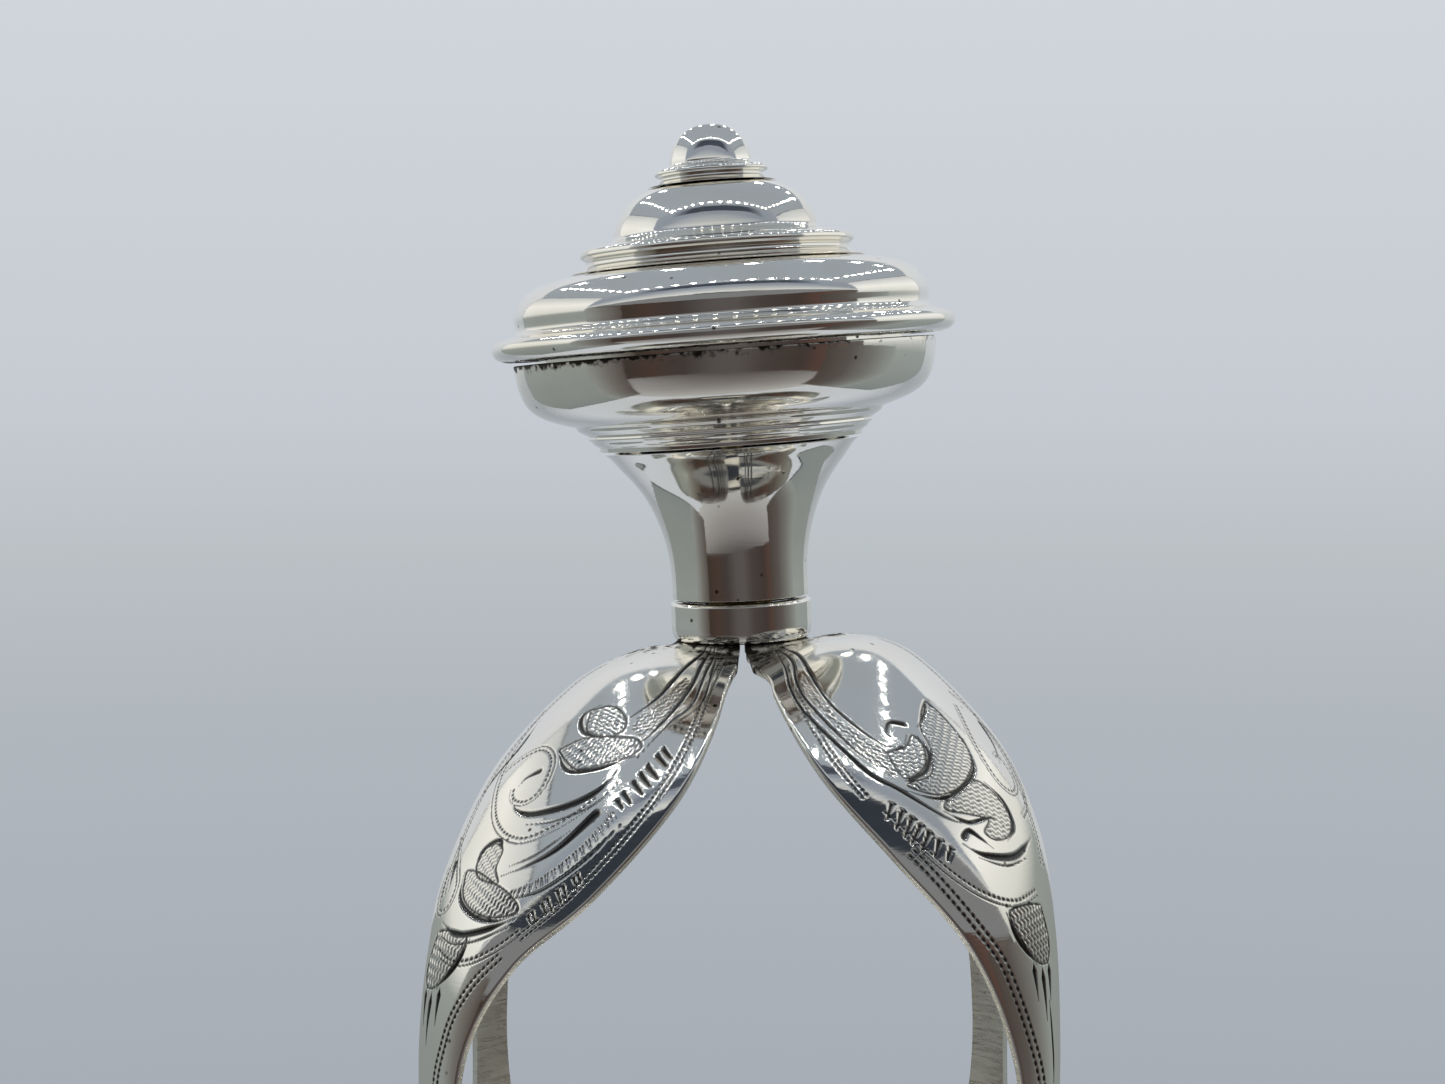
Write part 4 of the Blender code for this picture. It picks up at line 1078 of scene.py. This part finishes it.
def foot_cuts(points, along, radius, around):
    """Leaves chased on the foot's dome, and a dotted border round its edge."""
    outside = (radius > 14) & (radius < 49) & (points[:, 2] > 6.6) & (along < 62)
    r = Relief(np.where(outside, along, OFF_SHEET), sector(around, 8, math.radians(22.5)) * radius)
    for side in (-1, 1):
        r.line([(19, 0), (24, 5.0 * side), (32, 7.0 * side), (38, 3.0 * side), (41, 0)], 0.9, bulge=0.6)
        r.line([(38, 12.6 * side), (33, 9.6 * side), (27, 8.0 * side), (24, 5.4 * side)], 0.7, bulge=0.6)
        r.line([(41, 3.2 * side), (36, 8.4 * side), (38, 11.0 * side), (40, 9.0 * side)], 0.5, bulge=0.5)
        r.ribs([(26, 1.4 * side), (36, 1.2 * side)], 8, 1.2, 2.6)
    r.line([(20, 0), (39, 0)], 0.5, bulge=0.4)
    for low in (44.5, 51.5):
        r.double_dots([(low, -20), (low, 0), (low, 20)], gap=0.8, pitch=0.9, size=0.5)
    return r.depth, r.dark


def fixings():
    """The rods, nuts and washer keep their CAD shapes, in turned brass."""
    for node in ("tie_rod", "tie_washer", "tie_nut", "finial_rod", "finial_nut"):
        materials = frame["nodes"][node].data.materials
        materials.clear()
        materials.append(BRASS)


# ---------------------------------------------------------------- studio

CAMERA_DISTANCE = 270.2   # from the crown's axis
EYE_X = -2.16
EYE_Z = 277.0
AIM_DOWN_DEG = 3.9
LENS = 61.66
SENSOR = 36.0


def camera():
    made = bpy.data.objects.new("camera", bpy.data.cameras.new("camera"))
    made.data.lens = LENS
    made.data.sensor_width = SENSOR
    made.data.clip_start = 0.005
    made.location = Vector((EYE_X, -CAMERA_DISTANCE, EYE_Z)) * MM
    made.rotation_euler = (math.radians(90 - AIM_DOWN_DEG), 0, 0)
    bpy.context.scene.collection.objects.link(made)
    bpy.context.scene.camera = made


# Lengths of the studio are in metres. A colour ramp's stops are (place, red, green, blue).
TENT_SIDE = 0.23
TENT_FRONT = -0.060
TENT_BACK = 0.24
TENT_TOP = 0.44
BROW_LOW = 0.312          # the foot of the cloth that hangs over the tent's open front
SEAM = 0.003
LAYER = 0.001             # between panels that lie on each other
FLAP_FRONT = -0.17
RIGHT_FLAP_BACK = 0.04
RIGHT_FLAP_TOP = 0.272
SHADE_SIDE = 0.09
SHADE_LOW = 0.355
SHADE_TOP = 0.405
ROOM_R = 0.60
ROOM_HEIGHTS = (-0.02, 0.38, 0.66, 2.4)  # where its walls, their middle and their top part meet
APRON_BACK = -0.12
APRON_Z = 0.002
LAMP_DROP = 0.004         # from the tent's roof
FLOOR_R = 0.64


def fill_ramp(ramp, stops):
    ramp.elements[0].position = stops[0][0]
    ramp.elements[1].position = stops[-1][0]
    for position, *_ in stops[1:-1]:
        ramp.elements.new(position)
    for element, (_, *colour) in zip(ramp.elements, stops):
        element.color = (*colour, 1.0)


def world():
    """A pale sky that darkens softly downwards, like the inside of a small photo tent."""
    made = bpy.data.worlds.new("tent")
    bpy.context.scene.world = made
    made.use_nodes = True
    tree = made.node_tree
    place = tree.nodes.new("ShaderNodeTexCoord")
    split = tree.nodes.new("ShaderNodeSeparateXYZ")
    lift = tree.nodes.new("ShaderNodeMapRange")
    ramp = tree.nodes.new("ShaderNodeValToRGB")
    lift.inputs["From Min"].default_value = -0.5
    lift.inputs["From Max"].default_value = 0.5
    fill_ramp(ramp.color_ramp, [
        (0.0, 0.33, 0.36, 0.41), (0.22, 0.385, 0.42, 0.465), (0.37, 0.44, 0.475, 0.515),
        (0.43, 0.495, 0.535, 0.56), (0.49, 0.565, 0.60, 0.65), (0.64, 0.635, 0.665, 0.71),
        (1.0, 0.72, 0.75, 0.80)])
    for source, target in (
        (place.outputs["Generated"], split.inputs["Vector"]),
        (split.outputs["Z"], lift.inputs["Value"]),
        (lift.outputs["Result"], ramp.inputs["Fac"]),
        (ramp.outputs["Color"], tree.nodes["Background"].inputs["Color"]),
    ):
        tree.links.new(source, target)


def glow(name, colour=(1.0, 1.0, 1.0), strength=1.0):
    """The nodes of a material that only gives off light."""
    n = Nodes(name)
    n.shader.inputs["Base Color"].default_value = (0, 0, 0, 1)
    n.shader.inputs["Specular IOR Level"].default_value = 0.0
    n.shader.inputs["Emission Color"].default_value = (*colour, 1.0)
    n.shader.inputs["Emission Strength"].default_value = strength
    return n


def graded_glow(name, axis, stops):
    """A glow whose colour changes along an axis."""
    n = glow(name)
    low, high = stops[0][0], stops[-1][0]
    place = n.add("ShaderNodeTexCoord")
    split = n.add("ShaderNodeSeparateXYZ")
    n.link(place.outputs["Object"], split.inputs["Vector"])
    ramp = n.add("ShaderNodeValToRGB")
    n.link(n.ranged(split.outputs[axis], low, high), ramp.inputs["Fac"])
    fill_ramp(ramp.color_ramp, [((at - low) / (high - low), *colour) for at, *colour in stops])
    n.link(ramp.outputs["Color"], n.shader.inputs["Emission Color"])
    return n


def reflected(name, points, faces, nodes):
    """A mesh that glossy surfaces see, but not the camera."""
    made = linked_mesh(name, points, faces, nodes.material)
    made.visible_camera = False
    made.visible_diffuse = False
    made.visible_shadow = False


def card(name, nodes, x, y, z):
    """A flat panel that only shows in reflections: two of x, y and z are ranges, one is a place."""
    spans = [span if isinstance(span, tuple) else (span, span) for span in (x, y, z)]
    first, second = (axis for axis in range(3) if spans[axis][0] != spans[axis][1])
    corners = []
    for i, j in ((0, 0), (1, 0), (1, 1), (0, 1)):
        corner = [low for low, high in spans]
        corner[first], corner[second] = spans[first][i], spans[second][j]
        corners.append(corner)
    reflected(name, corners, [(0, 1, 2, 3)], nodes)


def tent_sides():
    """Two side walls that are brightest above the object, with dark seams along their edges."""
    depth, height = (TENT_FRONT, TENT_BACK), (0, TENT_TOP)
    wall = graded_glow("tent_wall", "Z", [
        (0.0, 0.22, 0.25, 0.255), (0.20, 0.27, 0.30, 0.305), (0.262, 0.31, 0.345, 0.345),
        (0.295, 0.74, 0.76, 0.75), (0.36, 0.93, 0.94, 0.93), (TENT_TOP, 0.55, 0.58, 0.62)])
    seam = glow("tent_seam", (0.02, 0.022, 0.025))
    for side in (-1, 1):
        x = TENT_SIDE * side
        inside = x - LAYER * side
        card("wall", wall, x, depth, height)
        card("back_seam", seam, x, (TENT_BACK, TENT_BACK + SEAM), height)
        card("foot_seam", seam, inside, depth, (0, SEAM * 2))
        card("roof_seam", seam, inside, depth, (TENT_TOP - SEAM, TENT_TOP))


def tent_flaps():
    """Dark cloths at the front of both side walls."""
    x = TENT_SIDE - LAYER * 2
    left = graded_glow("left_flap", "Y", [
        (FLAP_FRONT, 0.09, 0.075, 0.07), (-0.11, 0.17, 0.165, 0.16), (TENT_FRONT, 0.27, 0.29, 0.29)])
    right = graded_glow("right_flap", "Y", [
        (FLAP_FRONT, 0.07, 0.056, 0.05), (-0.09, 0.10, 0.09, 0.085), (-0.03, 0.17, 0.17, 0.165),
        (RIGHT_FLAP_BACK, 0.28, 0.31, 0.31)])
    card("left_flap", left, -x, (FLAP_FRONT, TENT_FRONT), (0, BROW_LOW))
    card("right_flap", right, x, (FLAP_FRONT, RIGHT_FLAP_BACK), (0, RIGHT_FLAP_TOP))


def tent_top():
    """The roof, and the brow over the open front, with a dark patch in its middle."""
    width = (-TENT_SIDE, TENT_SIDE)
    card("roof", glow("tent_roof", (0.33, 0.375, 0.43)), width, (TENT_FRONT, TENT_BACK), TENT_TOP)
    brow = graded_glow("tent_brow", "Z", [
        (BROW_LOW, 0.72, 0.74, 0.74), (BROW_LOW + 0.01, 0.50, 0.53, 0.56),
        (BROW_LOW + 0.03, 0.27, 0.31, 0.38), (TENT_TOP, 0.30, 0.345, 0.405)])
    card("brow", brow, width, TENT_FRONT, (BROW_LOW, TENT_TOP))
    shade = graded_glow("tent_shade", "X", [
        (-SHADE_SIDE, 0.27, 0.31, 0.38), (-0.05, 0.055, 0.065, 0.09), (0.05, 0.055, 0.065, 0.09),
        (SHADE_SIDE, 0.27, 0.31, 0.38)])
    card("shade", shade, (-SHADE_SIDE, SHADE_SIDE), TENT_FRONT + LAYER, (SHADE_LOW, SHADE_TOP))


def room():
    """What the tent's open front lets in: a dim brown room, and darkness high above it."""
    walls = graded_glow("room", "X", [
        (-ROOM_R, 0.10, 0.097, 0.09), (-0.50, 0.045, 0.036, 0.031), (-0.38, 0.065, 0.042, 0.035),
        (-0.22, 0.055, 0.046, 0.044), (-0.05, 0.095, 0.086, 0.088), (0.08, 0.10, 0.090, 0.092),
        (0.22, 0.065, 0.055, 0.053), (0.40, 0.055, 0.041, 0.037), (0.50, 0.10, 0.058, 0.048),
        (ROOM_R, 0.11, 0.107, 0.10)])
    middle = glow("room_middle", (0.20, 0.21, 0.225))
    above = glow("room_above", (0.030, 0.037, 0.052))
    levels = (("room", walls), ("room_middle", middle), ("room_above", above))
    for (name, nodes), low, high in zip(levels, ROOM_HEIGHTS, ROOM_HEIGHTS[1:]):
        ring_wall(name, nodes, low, high)
    apron = graded_glow("apron", "Y", [
        (-ROOM_R, 0.09, 0.083, 0.083), (-0.45, 0.16, 0.152, 0.155), (-0.25, 0.30, 0.295, 0.305),
        (APRON_BACK, 0.44, 0.45, 0.46)])
    card("apron", apron, (-ROOM_R, ROOM_R), (-ROOM_R, APRON_BACK), APRON_Z)


def ring_wall(name, nodes, low, high):
    """An upright wall that curves round the camera's side of the stage."""
    count = 24
    turn = [math.radians(-100 + 200 * k / count) for k in range(count + 1)]
    points = [(ROOM_R * math.sin(a), -ROOM_R * math.cos(a), z) for z in (low, high) for a in turn]
    faces = [(k, k + 1, count + 2 + k, count + 1 + k) for k in range(count)]
    reflected(name, points, faces, nodes)


def disc(x, y, z, r, sides):
    """Points of a level disc's edge."""
    turn = [math.tau * k / sides for k in range(sides)]
    return [(x + r * math.cos(a), y + r * math.sin(a), z) for a in turn]


def lamps():
    """A row of small lamps at the front, at the back and along each side under the tent's roof."""
    sides = 8
    spots = [(-0.12 + 0.020 * k, -0.052, 0.0023) for k in range(13)]
    spots += [(-0.14 + 0.035 * k, 0.17, 0.0055) for k in range(9)]
    spots += [(x, -0.050 + 0.024 * k, 0.0030) for k in range(10) for x in (-0.135, 0.135)]
    points = [p for x, y, r in spots for p in disc(x, y, TENT_TOP - LAMP_DROP, r, sides)]
    faces = [tuple(range(k, k + sides)) for k in range(0, len(points), sides)]
    reflected("lamps", points, faces, glow("lamp", strength=40.0))


def floor():
    """A pale round table top whose edge fades away."""
    n = Nodes("floor")
    place = n.add("ShaderNodeTexCoord")
    length = n.add("ShaderNodeVectorMath", operation="LENGTH")
    n.link(place.outputs["Object"], length.inputs[0])
    n.link(n.ranged(length.outputs["Value"], 0.30, FLOOR_R - 0.02, 1.0, 0.0), n.shader.inputs["Alpha"])
    n.shader.inputs["Base Color"].default_value = (0.80, 0.82, 0.85, 1.0)
    n.shader.inputs["Roughness"].default_value = 0.7
    n.shader.inputs["Specular IOR Level"].default_value = 0.2
    linked_mesh("floor", disc(0, 0, 0, FLOOR_R, 96), [tuple(range(96))], n.material)


camera()
world()
tent_sides()
tent_flaps()
tent_top()
room()
lamps()
floor()
crown()
finial()
cover()
cup()
stem()
foot()
fixings()
bpy.context.scene.view_settings.view_transform = "Standard"
bpy.context.view_layer.update()
